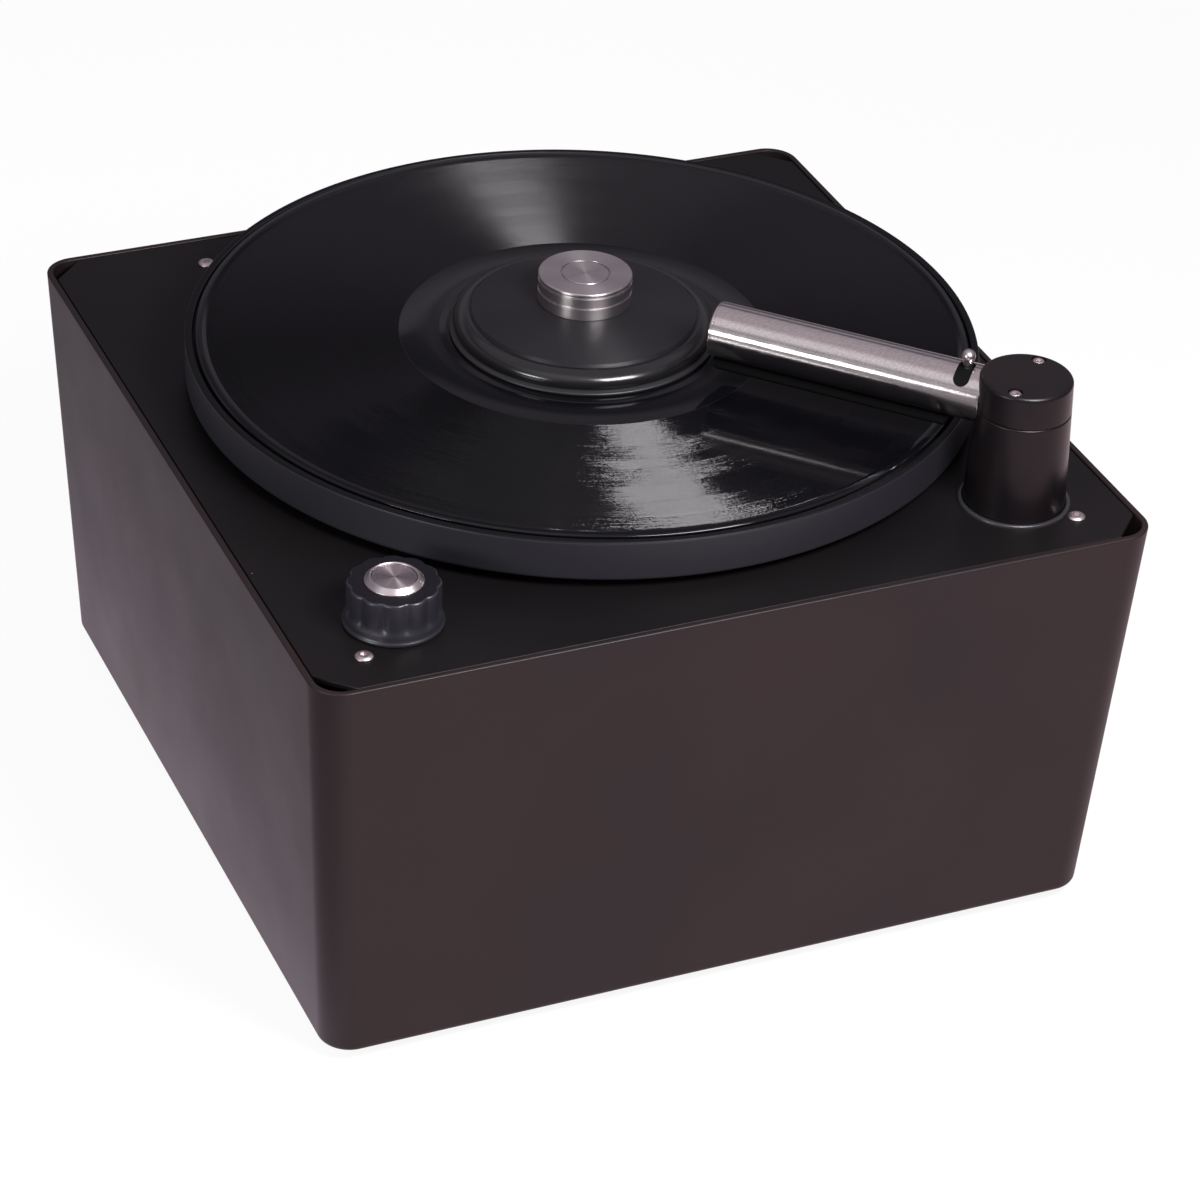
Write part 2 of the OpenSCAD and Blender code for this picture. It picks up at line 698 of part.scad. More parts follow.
module turret_sleeve() {
    color([0.6, 0.61, 0.63]) at_turret() difference() {
        union() {
            translate([0, 0, sleeve_bottom])
                cylinder(r = sleeve_bore + sleeve_wall, h = under_z - sleeve_bottom);
            translate([0, 0, under_z - sleeve_flange_t])
                cylinder(r = sleeve_flange_r, h = sleeve_flange_t);
            translate([0, 0, sleeve_bottom - spigot_l]) cylinder(r = hose_r - 0.1, h = spigot_l + 1);
        }
        translate([0, 0, sleeve_bottom + sleeve_floor]) cylinder(r = sleeve_bore, h = 100);
        translate([0, 0, sleeve_bottom - spigot_l - over]) cylinder(r = spigot_in, h = 40);
        rotate([0, 0, corner_a])
            translate([sleeve_bore + sleeve_wall + 0.1, -sleeve_flange_r, sleeve_bottom])
                cube([sleeve_flange_r, 2 * sleeve_flange_r, under_z]);
        for (a = stud_angles) rotate([0, 0, a])
            translate([stud_circle_r, 0, under_z - sleeve_flange_t - over])
                cylinder(r = stud_r + hole_gap, h = sleeve_flange_t + 2 * over);
    }
}

module sleeve_nuts() {
    color([0.62, 0.63, 0.65]) at_turret() for (a = stud_angles) rotate([0, 0, a])
        translate([stud_circle_r, 0, under_z - sleeve_flange_t - 3.2]) difference() {
            cylinder(r = 4, h = 3.2, $fn = 6);
            translate([0, 0, -over]) cylinder(r = stud_r, h = 3.2 + 2 * over);
        }
}

module trim_ring() {
    color([0.7, 0.7, 0.71]) at_turret() translate([0, 0, under_z]) rotate_extrude()
        polygon([[ring_in_r, 0], [ring_out_r, 0], [ring_out_r, plate_t + 0.3],
            [ring_out_r - 0.3, plate_t + 0.6], [ring_in_r, plate_t + 0.6]]);
}

module spring_cup() {
    color([0.85, 0.85, 0.8]) at_turret() translate([0, 0, cup_z]) {
        pipe(sleeve_bore - 0.2, tail_r + 0.3, cup_t);
        translate([0, 0, cup_t]) pipe(tail_r + 2.2, tail_r + 0.3, 12);
    }
}

// Round wire wound between the cup and the post
wire_r = 1.1;
coil_r = 15.2;
coil_turns = 6;
coil_steps = 18;
wire_sides = 8;
module lift_spring() {
    z0 = cup_z + cup_t + wire_r + 0.05;
    rise = post_bottom - 0.05 - wire_r - z0;
    n = coil_turns * coil_steps;
    color([0.7, 0.7, 0.72]) at_turret() polyhedron(
        points = [for (i = [0:n], j = [0:wire_sides - 1])
            let (a = 360 * i / coil_steps, b = 360 * j / wire_sides, r = coil_r + wire_r * cos(b))
            [r * cos(a), r * sin(a), z0 + rise * i / n + wire_r * sin(b)]],
        faces = concat(
            [[for (j = [0:wire_sides - 1]) j]],
            [[for (j = [wire_sides - 1:-1:0]) n * wire_sides + j]],
            [for (i = [0:n - 1], j = [0:wire_sides - 1]) let (k = (j + 1) % wire_sides)
                [i * wire_sides + j, (i + 1) * wire_sides + j,
                 (i + 1) * wire_sides + k, i * wire_sides + k]]));
}

// Frame along the suction tube: +X to its free end, +Z up
module along_tube() {
    at_turret() translate([0, 0, tube_z]) rotate([0, 0, arm_angle]) children();
}
// Cylinder along the tube's axis
module rod(r, t0, t1) {
    translate([t0, 0, 0]) rotate([0, 90, 0]) cylinder(r = r, h = t1 - t0);
}
// Sector about the tube's axis, in degrees from the top towards the front
module sector(r0, r1, t0, t1, a0, a1) {
    rotate([0, 90, 0]) rotate([0, 0, 180 - a1]) rotate_extrude(angle = a1 - a0)
        translate([r0, t0]) square([r1 - r0, t1 - t0]);
}

stub_r = tube_r - tube_wall - run_gap;
stub_in = stub_r - 1.5;
stub_back = -11.5;
stub_end = 33;
socket_r = tube_r + 0.35;
socket_t = 14.4;
cap_screw_y = 13.6;
cap_screw_r = 1.5;
cap_head_r = 2.6;

module head_hollows() {
    along_tube() {
        rod(stub_r, stub_back, 40);
        rod(socket_r, socket_t, 40);
    }
}

module turret_post() {
    color([0.11, 0.11, 0.12]) difference() {
        at_turret() {
            translate([0, 0, plate_z])
                cylinder(r1 = turret_foot_r, r2 = turret_r(seam_z), h = seam_z - plate_z);
            translate([0, 0, post_bottom]) cylinder(r = turret_foot_r, h = plate_z - post_bottom);
            translate([0, 0, sleeve_bottom - 11]) cylinder(r = tail_r, h = post_bottom - sleeve_bottom + 12);
        }
        at_turret() translate([0, 0, sleeve_bottom - 12]) cylinder(r = tail_in, h = tube_z - sleeve_bottom);
        at_turret() for (z = seal_heights) translate([0, 0, z - seal_groove / 2])
            pipe(tail_r + over, seal_seat_r, seal_groove);
        head_hollows();
        along_tube() for (s = [-1, 1]) translate([0, s * cap_screw_y, seam_z - tube_z - 14])
            cylinder(r = cap_screw_r, h = 20);
    }
}

module turret_cap() {
    edge = 1.6;
    h = turret_top - seam_z;
    color([0.11, 0.11, 0.12]) difference() {
        at_turret() translate([0, 0, seam_z]) rotate_extrude() polygon(concat(
            [[0, 0], [turret_r(seam_z) - 0.25, 0], [turret_r(seam_z), 0.25]],
            arc([turret_top_r - edge, h - edge], edge, 0, 90, 5), [[0, h]]));
        head_hollows();
        along_tube() {
            for (s = [-1, 1]) translate([0, s * cap_screw_y, -20])
                cylinder(r = cap_screw_r + hole_gap, h = 40);
            for (s = [-1, 1]) translate([0, s * cap_screw_y, turret_h - tube_h - 1.4])
                cylinder(r = cap_head_r + hole_gap, h = 5);
        }
    }
}

module cap_screws() {
    head_h = 2;
    color([0.8, 0.79, 0.78]) along_tube() for (s = [-1, 1])
        translate([0, s * cap_screw_y, turret_h - tube_h - 1.4])
            screw(cap_head_r, head_h, cap_screw_r, turret_h - tube_h - 1.4 + tube_z - seam_z + 9);
}

// Fixed inner tube that the suction tube turns on
pin_shank_r = 1.2;
module tube_stub() {
    color([0.7, 0.7, 0.71]) along_tube() difference() {
        rod(stub_r, stub_back, stub_end);
        rod(stub_in, stub_back + 2, stub_end + over);
        translate([0, 0, -stub_r - over]) cylinder(r = tail_in - 0.6, h = stub_r);
        translate([pin_t, 0, 0]) cylinder(r = pin_shank_r, h = stub_r + over);
    }
}

// Stop pin with a bulged head, screwed into the inner tube
module arm_pin() {
    neck_r = 1.5;
    head_r = 2.65;
    head_z = tube_r + 3.7;
    color([0.85, 0.83, 0.81]) along_tube() translate([pin_t, 0, 0]) rotate_extrude() polygon(concat(
        [[0, stub_in], [pin_shank_r, stub_in], [pin_shank_r, stub_r + 0.05],
         [neck_r, stub_r + 0.05], [neck_r, head_z - 2.8]],
        arc([0, head_z], head_r, -25, 90, 8)));
}

module tail_seals() {
    seal_r = (spigot_in - run_gap - seal_seat_r) / 2 - 0.01;
    color([0.06, 0.06, 0.06]) at_turret() for (z = seal_heights) translate([0, 0, z])
        rotate_extrude() translate([seal_seat_r + seal_r + 0.01, 0]) circle(seal_r);
}

tube_start = socket_t + seat_gap;
end_cap_t = 1.2;
intake_w = 2;
intake_start = 38;
intake_end = tube_reach - 8;
module suction_tube() {
    slot_a0 = 0;
    slot_a1 = twist;
    color([0.85, 0.83, 0.82]) along_tube() difference() {
        rod(tube_r, tube_start, tube_reach - end_cap_t);
        rod(tube_r - tube_wall, tube_start - over, tube_reach);
        sector(tube_r - tube_wall - over, tube_r + over, pin_t - pin_slot / 2, pin_t + pin_slot / 2,
            slot_a0, slot_a1);
        for (a = [slot_a0, slot_a1]) rotate([-a, 0, 0]) translate([pin_t, 0, 0])
            cylinder(r = pin_slot / 2, h = tube_r + over);
        translate([intake_start, -intake_w / 2, -tube_r - over])
            cube([intake_end - intake_start, intake_w, tube_r]);
        for (t = [intake_start, intake_end]) translate([t, 0, -tube_r - over])
            cylinder(r = intake_w / 2, h = tube_r);
    }
}

module tube_end_cap() {
    color([0.8, 0.79, 0.78]) along_tube() {
        rod(tube_r - 0.15, tube_reach - end_cap_t, tube_reach);
        rod(tube_r - tube_wall, tube_reach - 6, tube_reach - end_cap_t);
    }
}

// Soft strips on both sides of the intake slot
pad_start = 27;
pad_inner_a = 7;
pad_outer_a = 33;
module pad_strips() {
    color([0.09, 0.09, 0.1]) along_tube() for (a = [-pad_outer_a, pad_inner_a])
        sector(tube_r, tube_r + pad_t, pad_start, tube_reach - 1.5,
            180 + a, 180 + a + pad_outer_a - pad_inner_a);
}

// Control knob with its lobes, a steel bezel and a push button
skirt_h = 6.5;
lobe_r = 6;
lobe_turn = 10.6;
bezel_r = button_r + 2.7;
bezel_spigot_r = button_r + 1.9;
bezel_drop = 8;
bezel_rise = 2.2;
knob_pocket_r = 10.5;
knob_pocket_h = 3.6;
switch_shaft_r = 3;
module control_knob() {
    out_r = knob_r - 1.4;
    turn = lobe_turn;
    color([0.1, 0.1, 0.1]) at_knob() difference() {
        union() {
            rotate_extrude() polygon([[0, seat_gap], [knob_r - 0.4, seat_gap], [knob_r, 0.8],
                [knob_r, 1.3], [knob_r - 0.3, 1.8], [out_r + 0.2, skirt_h], [0, skirt_h]]);
            intersection() {
                translate([0, 0, skirt_h]) linear_extrude(knob_h - skirt_h) {
                    circle(out_r - 3);
                    for (i = [0:lobes - 1]) rotate([0, 0, turn + 360 * i / lobes])
                        translate([out_r - lobe_r, 0]) circle(lobe_r);
                }
                rotate_extrude() polygon([[0, skirt_h - over], [knob_r, skirt_h - over],
                    [knob_r, knob_h - 2], [out_r - 0.9, knob_h], [0, knob_h]]);
            }
        }
        translate([0, 0, -over]) cylinder(r = knob_pocket_r, h = knob_pocket_h + over);
        translate([0, 0, -over]) cylinder(r = switch_shaft_r + 0.02, h = knob_h);
        translate([0, 0, knob_h - bezel_drop]) cylinder(r = bezel_spigot_r + 0.02, h = knob_h);
    }
}

module button_bezel() {
    color([0.8, 0.79, 0.78]) at_knob() translate([0, 0, knob_h]) rotate_extrude() polygon([
        [button_r + 0.15, -bezel_drop], [bezel_spigot_r, -bezel_drop], [bezel_spigot_r, 0],
        [bezel_r - 0.2, 0], [bezel_r, 0.2], [bezel_r - 0.1, 0.5],
        [button_r + 0.8, bezel_rise - 0.1], [button_r + 0.55, bezel_rise],
        [button_r + 0.15, bezel_rise - 0.3]]);
}

rod_r = 1.4;
switch_body_h = 18;
module power_button() {
    color([0.84, 0.82, 0.81]) at_knob() {
        translate([0, 0, knob_h + bezel_rise - 0.5]) rotate_extrude() polygon([[0, -5.7],
            [button_r, -5.7], [button_r, -0.4], [button_r - 0.4, 0], [0, 0]]);
        translate([0, 0, -plate_t - switch_body_h + 0.2])
            cylinder(r = rod_r, h = knob_h + bezel_rise - 5 + plate_t + switch_body_h);
    }
}

// Switch under the knob: turned by the hollow shaft, pushed by the rod
push_h = 14;
push_w = 18;
switch_body_r = 16;
switch_bush_h = 3.2;
tab_w = 2.4;
tab_t = 0.8;
tab_l = 5;
tab_circle = 13;
module switch_body() {
    color([0.2, 0.2, 0.22]) at_knob() translate([0, 0, -plate_t]) difference() {
        union() {
            cylinder(r = bush_r, h = plate_t + switch_bush_h);
            translate([0, 0, -switch_body_h]) cylinder(r = switch_body_r, h = switch_body_h);
            translate([-push_w / 2, -push_w / 2, -switch_body_h - push_h])
                cube([push_w, push_w, push_h]);
            for (a = [0:45:315]) rotate([0, 0, a])
                translate([tab_circle, -tab_w / 2, -switch_body_h - tab_l])
                    cube([tab_t, tab_w, tab_l + over]);
        }
        translate([0, 0, -switch_body_h]) cylinder(r = switch_shaft_r + run_gap, h = 40);
        translate([0, 0, -switch_body_h - 2]) cylinder(r = rod_r + 0.2, h = 3);
    }
}

module switch_nut() {
    color([0.75, 0.75, 0.76]) at_knob() difference() {
        cylinder(r = 8, h = 2.4, $fn = 6);
        translate([0, 0, -over]) cylinder(r = bush_r, h = 5);
    }
}

module switch_shaft() {
    color([0.72, 0.72, 0.73]) at_knob() translate([0, 0, -plate_t - switch_body_h + 1])
        pipe(switch_shaft_r, rod_r + 0.2, knob_h - bezel_drop + 0.4 + plate_t + switch_body_h - 1);
}

// Control board on the base plate
board_x = -30;
board_y = -66;
board_w = 96;
board_d = 62;
board_rise = 8;
board_z = deck_z + board_rise;
board_t = 1.6;
board_hole_in = 4;
standoff_r = 3;
standoff_pin_r = 1.5;
// Corner, width, depth and height of each block, then centre, radius and height of each can
board_blocks = [[-42, -19, 34, 30, 30], [2, 4, 16, 20, 17.6], [24, 4, 16, 20, 17.6],
    [-28, 17, 58, 10, 13.6]];
board_cans = [[14, -16, 8, 26], [34, -16, 6, 18]];
module control_board() {
    color([0.13, 0.32, 0.18]) translate([board_x, board_y, board_z]) difference() {
        union() {
            translate([-board_w / 2, -board_d / 2, 0]) cube([board_w, board_d, board_t]);
            for (b = board_blocks) translate([b[0], b[1], board_t / 2])
                cube([b[2], b[3], b[4] - board_t / 2]);
            for (c = board_cans) translate([c[0], c[1], board_t / 2])
                cylinder(r = c[2], h = c[3] - board_t / 2);
        }
        on_four(board_w / 2 - board_hole_in, board_d / 2 - board_hole_in)
            translate([0, 0, -over]) cylinder(r = standoff_pin_r + 0.1, h = board_t + 2 * over);
    }
}

module board_standoffs() {
    color([0.85, 0.85, 0.82]) translate([board_x, board_y, deck_z])
        on_four(board_w / 2 - board_hole_in, board_d / 2 - board_hole_in) {
            cylinder(r = standoff_r, h = board_rise);
            cylinder(r = standoff_pin_r, h = board_rise + 2 * board_t);
        }
}

// Waste tank along the right side, with its hoses
spigot_len = 13;
hose_out_r = hose_r + hose_wall;
spigot_r = hose_r - 0.1;
hose_drop = 20;
hose_side = 18;
tank_side = 1;
tank_front = turret_y - case_d / 2 + bend_r + spigot_len;
tank_back = half_d(foot_gap) - base_screw_in - base_screw_r - tank_clear;
tank_l = tank_back - tank_front;
tank_right = half_w(foot_gap) - base_screw_in - base_screw_r - tank_side;
tank_mid_x = tank_right - tank_w / 2;
tank_mid_y = (tank_front + tank_back) / 2;
lid_t = 3;
tank_r = 10;
intake_z = sleeve_bottom - hose_drop - bend_r;
outlet_x = tank_right - tank_w + hose_side;

module ring_face() {
    difference() {
        circle(hose_out_r);
        circle(hose_r);
    }
}
module hose_bend() {
    rotate_extrude(angle = 90) translate([bend_r, 0]) ring_face();
}
// Straight piece of hose along +Y
module hose_run(l) {
    rotate([-90, 0, 0]) linear_extrude(l) ring_face();
}
module nozzle(l) {
    rotate([-90, 0, 0]) cylinder(r = spigot_r, h = l);
}
module nozzle_bore(l) {
    translate([0, -over, 0]) rotate([-90, 0, 0]) cylinder(r = spigot_in, h = l + 2 * over);
}

module waste_tank() {
    intake_x = case_w / 2 - turret_x;
    color([0.8, 0.82, 0.84]) difference() {
        union() {
            translate([tank_mid_x, tank_mid_y, deck_z])
                round_plate(tank_w / 2, tank_l / 2, tank_r, tank_h - lid_t);
            translate([intake_x, tank_front - spigot_len, intake_z]) nozzle(spigot_len + 1);
            translate([outlet_x, tank_front - spigot_len, blower_z]) nozzle(spigot_len + 1);
            translate([drain_x, tank_back - over, spout_z]) rotate([-90, 0, 0])
                cylinder(r = spout_neck_r, h = spout_end - tank_back + over);
            translate([drain_x, spout_end - spout_l, spout_z]) rotate([-90, 0, 0])
                cylinder(r = spout_r, h = spout_l);
        }
        translate([tank_mid_x, tank_mid_y, deck_z + tank_wall])
            round_plate(tank_w / 2 - tank_wall, tank_l / 2 - tank_wall, tank_r - tank_wall, tank_h);
        translate([intake_x, tank_front - spigot_len, intake_z]) nozzle_bore(spigot_len + tank_wall);
        translate([outlet_x, tank_front - spigot_len, blower_z]) nozzle_bore(spigot_len + tank_wall);
        translate([drain_x, tank_back - tank_wall - over, spout_z]) rotate([-90, 0, 0])
            cylinder(r = spout_r - spout_wall, h = spout_end - tank_back + tank_wall + 2 * over);
    }
}

module tank_lid() {
    color([0.7, 0.72, 0.74]) translate([tank_mid_x, tank_mid_y, deck_z + tank_h - lid_t]) {
        round_plate(tank_w / 2, tank_l / 2, tank_r, lid_t);
        translate([0, 0, -4]) difference() {
            round_plate(tank_w / 2 - tank_wall - 0.2, tank_l / 2 - tank_wall - 0.2,
                tank_r - tank_wall - 0.2, 5);
            translate([0, 0, -over]) round_plate(tank_w / 2 - tank_wall - 3,
                tank_l / 2 - tank_wall - 3, tank_r - tank_wall - 3, 5);
        }
    }
}

module suction_hose() {
    top = sleeve_bottom - 0.5;
    bend_z = intake_z + bend_r;
    color([0.25, 0.26, 0.28]) at_turret() {
        translate([0, 0, bend_z]) linear_extrude(top - bend_z) ring_face();
        translate([0, bend_r, bend_z]) rotate([0, 90, 0]) rotate([0, 0, -90]) hose_bend();
        translate([0, bend_r, intake_z]) hose_run(spigot_len - 0.3);
    }
}

module vacuum_hose() {
    y0 = tank_front - spigot_len;
    x0 = outlet_x - bend_r;
    x1 = blower_x + bend_r;
    color([0.25, 0.26, 0.28]) translate([0, 0, blower_z]) {
        translate([outlet_x, y0, 0]) hose_run(spigot_len - 0.3);
        translate([x0, y0, 0]) rotate([0, 0, -90]) hose_bend();
        translate([x0, y0 - bend_r, 0]) rotate([0, 0, 90]) hose_run(x0 - x1);
        translate([x1, y0, 0]) rotate([0, 0, 180]) hose_bend();
        translate([blower_x, y0, 0]) hose_run(blower_y - y0 - 0.3);
    }
}

// Blower lying along +Y in its cradle
blower_y = 40;
blower_l = 36;
blower_wall = 4;
blower_plate = 4;
blower_motor_r = 42;
blower_motor_l = 55;
blower_shaft_r = 4;
module at_blower(y) {
    translate([blower_x, y, blower_z]) rotate([-90, 0, 0]) children();
}
module blower_case() {
    color([0.4, 0.41, 0.43]) difference() {
        union() {
            at_blower(blower_y) cylinder(r = blower_r, h = blower_l);
            at_blower(blower_y - spigot_len) cylinder(r = spigot_r, h = spigot_len + 1);
        }
        at_blower(blower_y + blower_wall) cylinder(r = blower_r - blower_wall, h = blower_l);
        at_blower(blower_y - spigot_len - over) cylinder(r = spigot_in, h = 40);
    }
}

module blower_motor() {
    color([0.3, 0.31, 0.33]) at_blower(blower_y + blower_l) difference() {
        union() {
            cylinder(r = blower_r, h = blower_plate);
            translate([0, 0, blower_plate - 1]) cylinder(r = blower_motor_r, h = blower_motor_l - 7);
            translate([0, 0, blower_plate + blower_motor_l - 9]) cylinder(r = blower_motor_r - 6, h = 9);
        }
        translate([0, 0, -over]) cylinder(r = blower_shaft_r + run_gap, h = 30);
        for (a = [0:30:330]) rotate([0, 0, a]) translate([blower_motor_r + 1, 0, blower_plate + 14])
            cylinder(r = 3, h = 26);
    }
}

// Impeller between two discs, on the motor's shaft
blade_count = 8;
module impeller() {
    r = blower_r - 8;
    eye_r = 16;
    front = blower_wall + 3;
    back = blower_l - 8;
    color([0.75, 0.76, 0.78]) at_blower(blower_y) {
        translate([0, 0, back]) cylinder(r = r, h = 2);
        translate([0, 0, front]) pipe(r, eye_r, 1.5);
        for (i = [0:blade_count - 1]) rotate([0, 0, 360 * i / blade_count])
            translate([eye_r + 1, 0, front + 1]) rotate([0, 0, 28])
                cube([r - eye_r - 6, 1.4, back - front - 0.5]);
        translate([0, 0, front + 4]) cylinder(r = 9, h = back - front - 3);
        translate([0, 0, back]) cylinder(r = blower_shaft_r, h = 35);
    }
}

cradle_w = 62;
case_rest = [6, 22, 22];
motor_rest = [64, 20, 34];
module blower_cradle() {
    color([0.09, 0.09, 0.09]) difference() {
        union() {
            for (r = [case_rest, motor_rest])
                translate([blower_x - cradle_w / 2, blower_y + r[0], deck_z])
                    cube([cradle_w, r[1], r[2]]);
        }
        at_blower(blower_y) cylinder(r = blower_r + 0.1, h = 45);
        at_blower(blower_y + 45) cylinder(r = blower_motor_r + 0.1, h = 60);
    }
}

// Fittings in the rear wall: inlet, power rocker, drain plug
module mains_inlet() {
    pin_l = 14;
    pocket = 16;
    color([0.08, 0.08, 0.08]) on_rear(inlet_x, fitting_z) {
        difference() {
            union() {
                translate([-inlet_flange_w / 2, 0, -inlet_flange_h / 2])
                    cube([inlet_flange_w, fitting_flange, inlet_flange_h]);
                translate([-inlet_w / 2, -inlet_depth, -inlet_tall / 2])
                    cube([inlet_w, inlet_depth + 1, inlet_tall]);
            }
            translate([0, fitting_flange + over, 0]) rotate([90, 0, 0])
                linear_extrude(pocket + over) polygon([[-11.5, -8], [11.5, -8], [11.5, 4],
                    [7.5, 8], [-7.5, 8], [-11.5, 4]]);
        }
        for (p = [[-7, -2], [0, 2], [7, -2]])
            translate([p[0] - 1, fitting_flange - pocket - 0.5, p[1] - 2]) cube([2, pin_l, 4]);
        for (x = [-9, 0, 9]) translate([x - 3.1, -inlet_depth - 8, -0.4]) cube([6.2, 9, 0.8]);
    }
}

rocker_pocket_d = 7;
rocker_half_w = 5.1;
rocker_half_h = 8;
rocker_tilt = 8;
module rocker_frame() {
    color([0.08, 0.08, 0.08]) on_rear(rocker_x, fitting_z) difference() {
        union() {
            translate([-rocker_flange_w / 2, 0, -rocker_flange_h / 2])
                cube([rocker_flange_w, fitting_flange, rocker_flange_h]);
            translate([-rocker_w / 2, -rocker_depth, -rocker_tall / 2])
                cube([rocker_w, rocker_depth + 1, rocker_tall]);
            for (z = [-5, 5]) translate([-3.1, -rocker_depth - 8, z - 0.4]) cube([6.2, 9, 0.8]);
        }
        translate([-rocker_half_w - 0.3, fitting_flange - rocker_pocket_d, -rocker_half_h - 0.7])
            cube([2 * rocker_half_w + 0.6, rocker_pocket_d + over, 2 * rocker_half_h + 1.4]);
    }
}

module power_rocker() {
    color([0.12, 0.12, 0.12]) on_rear(rocker_x, fitting_z) rotate([-rocker_tilt, 0, 0])
        rotate([90, 0, 90]) translate([0, 0, -rocker_half_w]) linear_extrude(2 * rocker_half_w)
            polygon(concat([[-1, -rocker_half_h], [2.9, -rocker_half_h]],
                arc([9.5, 0], 8, 200, 160, 6),
                [[2.9, rocker_half_h], [-1, rocker_half_h], [-3.8, 2.5], [-3.8, -2.5]]));
}

module drain_plug() {
    plug_l = 10;
    plug_head = 1.9;
    color([0.07, 0.07, 0.07]) translate([drain_x, spout_end, spout_z]) rotate([-90, 0, 0]) {
        translate([0, 0, -plug_l]) cylinder(r = spout_r - spout_wall - run_gap, h = plug_l + 1);
        translate([0, 0, run_gap]) cylinder(r = spout_r - 0.4, h = plug_head);
    }
}

housing();
base_plate();
base_screws();
rubber_feet();
foot_screws();
corner_brackets();
top_plate();
top_plate_screws();
bearing_housing();
bearing_screws();
bearing_bushes();
thrust_washer();
spindle();
platter();
platter_screws();
platter_mat();
record();
clamp_pad();
clamp_disc();
clamp_knob();
drive_coupling();
gearbox_shaft();
gearbox_case();
motor_can();
motor_pillars();
turret_sleeve();
sleeve_nuts();
trim_ring();
spring_cup();
lift_spring();
turret_post();
turret_cap();
cap_screws();
tube_stub();
arm_pin();
tail_seals();
suction_tube();
tube_end_cap();
pad_strips();
control_knob();
button_bezel();
power_button();
switch_body();
switch_nut();
switch_shaft();
control_board();
board_standoffs();
suction_hose();
waste_tank();
tank_lid();
vacuum_hose();
blower_case();
blower_motor();
impeller();
blower_cradle();
mains_inlet();
rocker_frame();
power_rocker();
drain_plug();
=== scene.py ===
# Record cleaning machine, dressed over the CAD frame. Lengths in the dictionaries are millimetres.
import json
import math

import bmesh
import bpy
from mathutils import Matrix, Vector


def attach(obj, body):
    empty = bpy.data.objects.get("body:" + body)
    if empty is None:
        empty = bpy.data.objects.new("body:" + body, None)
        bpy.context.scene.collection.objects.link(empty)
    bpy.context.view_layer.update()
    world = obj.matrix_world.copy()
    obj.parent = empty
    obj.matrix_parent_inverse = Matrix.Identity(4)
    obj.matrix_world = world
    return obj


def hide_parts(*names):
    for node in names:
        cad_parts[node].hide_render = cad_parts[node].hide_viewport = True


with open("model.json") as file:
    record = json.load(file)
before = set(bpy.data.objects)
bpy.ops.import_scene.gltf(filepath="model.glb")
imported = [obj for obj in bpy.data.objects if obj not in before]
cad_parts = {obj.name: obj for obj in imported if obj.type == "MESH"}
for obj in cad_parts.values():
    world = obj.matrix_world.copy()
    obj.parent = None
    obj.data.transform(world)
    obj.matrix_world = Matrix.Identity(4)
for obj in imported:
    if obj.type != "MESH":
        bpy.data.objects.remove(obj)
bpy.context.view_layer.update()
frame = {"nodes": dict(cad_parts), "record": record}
nodes = frame["nodes"]
scene = bpy.context.scene
scene.view_settings.view_transform = "Standard"
mm = 0.001
print("frame loaded:", len(nodes), "CAD nodes")

# camera, floor and light
cameraFit = {
    "turn": -24.423109, "tilt": 33.007920, "roll": 2.840738,
    "distance": 1776.2517, "aimRight": 12.792242, "aimUp": 59.167441,
    "focalPixels": 4319.0134, "centreX": 591.7609, "centreY": 600.8982,
    "imagePixels": 1200, "lift": 5.0, "sensor": 36, "farthest": 50,
}


def placeCamera(fit):
    turn, tilt, roll = (math.radians(fit[k]) for k in ("turn", "tilt", "roll"))
    look = Vector((-math.sin(turn) * math.cos(tilt), math.cos(turn) * math.cos(tilt), -math.sin(tilt)))
    side = look.cross(Vector((0, 0, 1))).normalized()
    up = side.cross(look)
    right = math.cos(roll) * side + math.sin(roll) * up
    upright = -math.sin(roll) * side + math.cos(roll) * up
    aim = fit["aimRight"] * right + fit["aimUp"] * upright + Vector((0, 0, fit["lift"]))
    spot = (aim - fit["distance"] * look) * mm
    data = bpy.data.cameras.new("camera")
    data.sensor_width = fit["sensor"]
    data.lens = fit["focalPixels"] * fit["sensor"] / fit["imagePixels"]
    data.shift_x = (fit["imagePixels"] / 2 - fit["centreX"]) / fit["imagePixels"]
    data.shift_y = (fit["centreY"] - fit["imagePixels"] / 2) / fit["imagePixels"]
    data.clip_end = fit["farthest"]
    camera = bpy.data.objects.new("camera", data)
    scene.collection.objects.link(camera)
    columns = Matrix((right, upright, -look)).transposed().to_4x4()
    camera.matrix_world = Matrix.Translation(spot) @ columns
    scene.camera = camera


placeCamera(cameraFit)

lampTarget = Vector((0, 0, 150))
lamps = [  # compass in degrees from +X, rise in degrees over the table; mirrored False hides one from reflections
    {"name": "frontSoftbox", "compass": -78, "rise": 45, "away": 700, "wide": 290, "tall": 220, "watts": 6.2,
     "tint": (1, 0.965, 1)},
    {"name": "leftStrip", "compass": -155, "rise": 14, "away": 1100, "wide": 340, "tall": 150, "watts": 3.2},
    {"name": "sideSoftbox", "compass": -155, "rise": 19, "away": 1500, "wide": 1100, "tall": 560, "watts": 4.6,
     "mirrored": False},
]


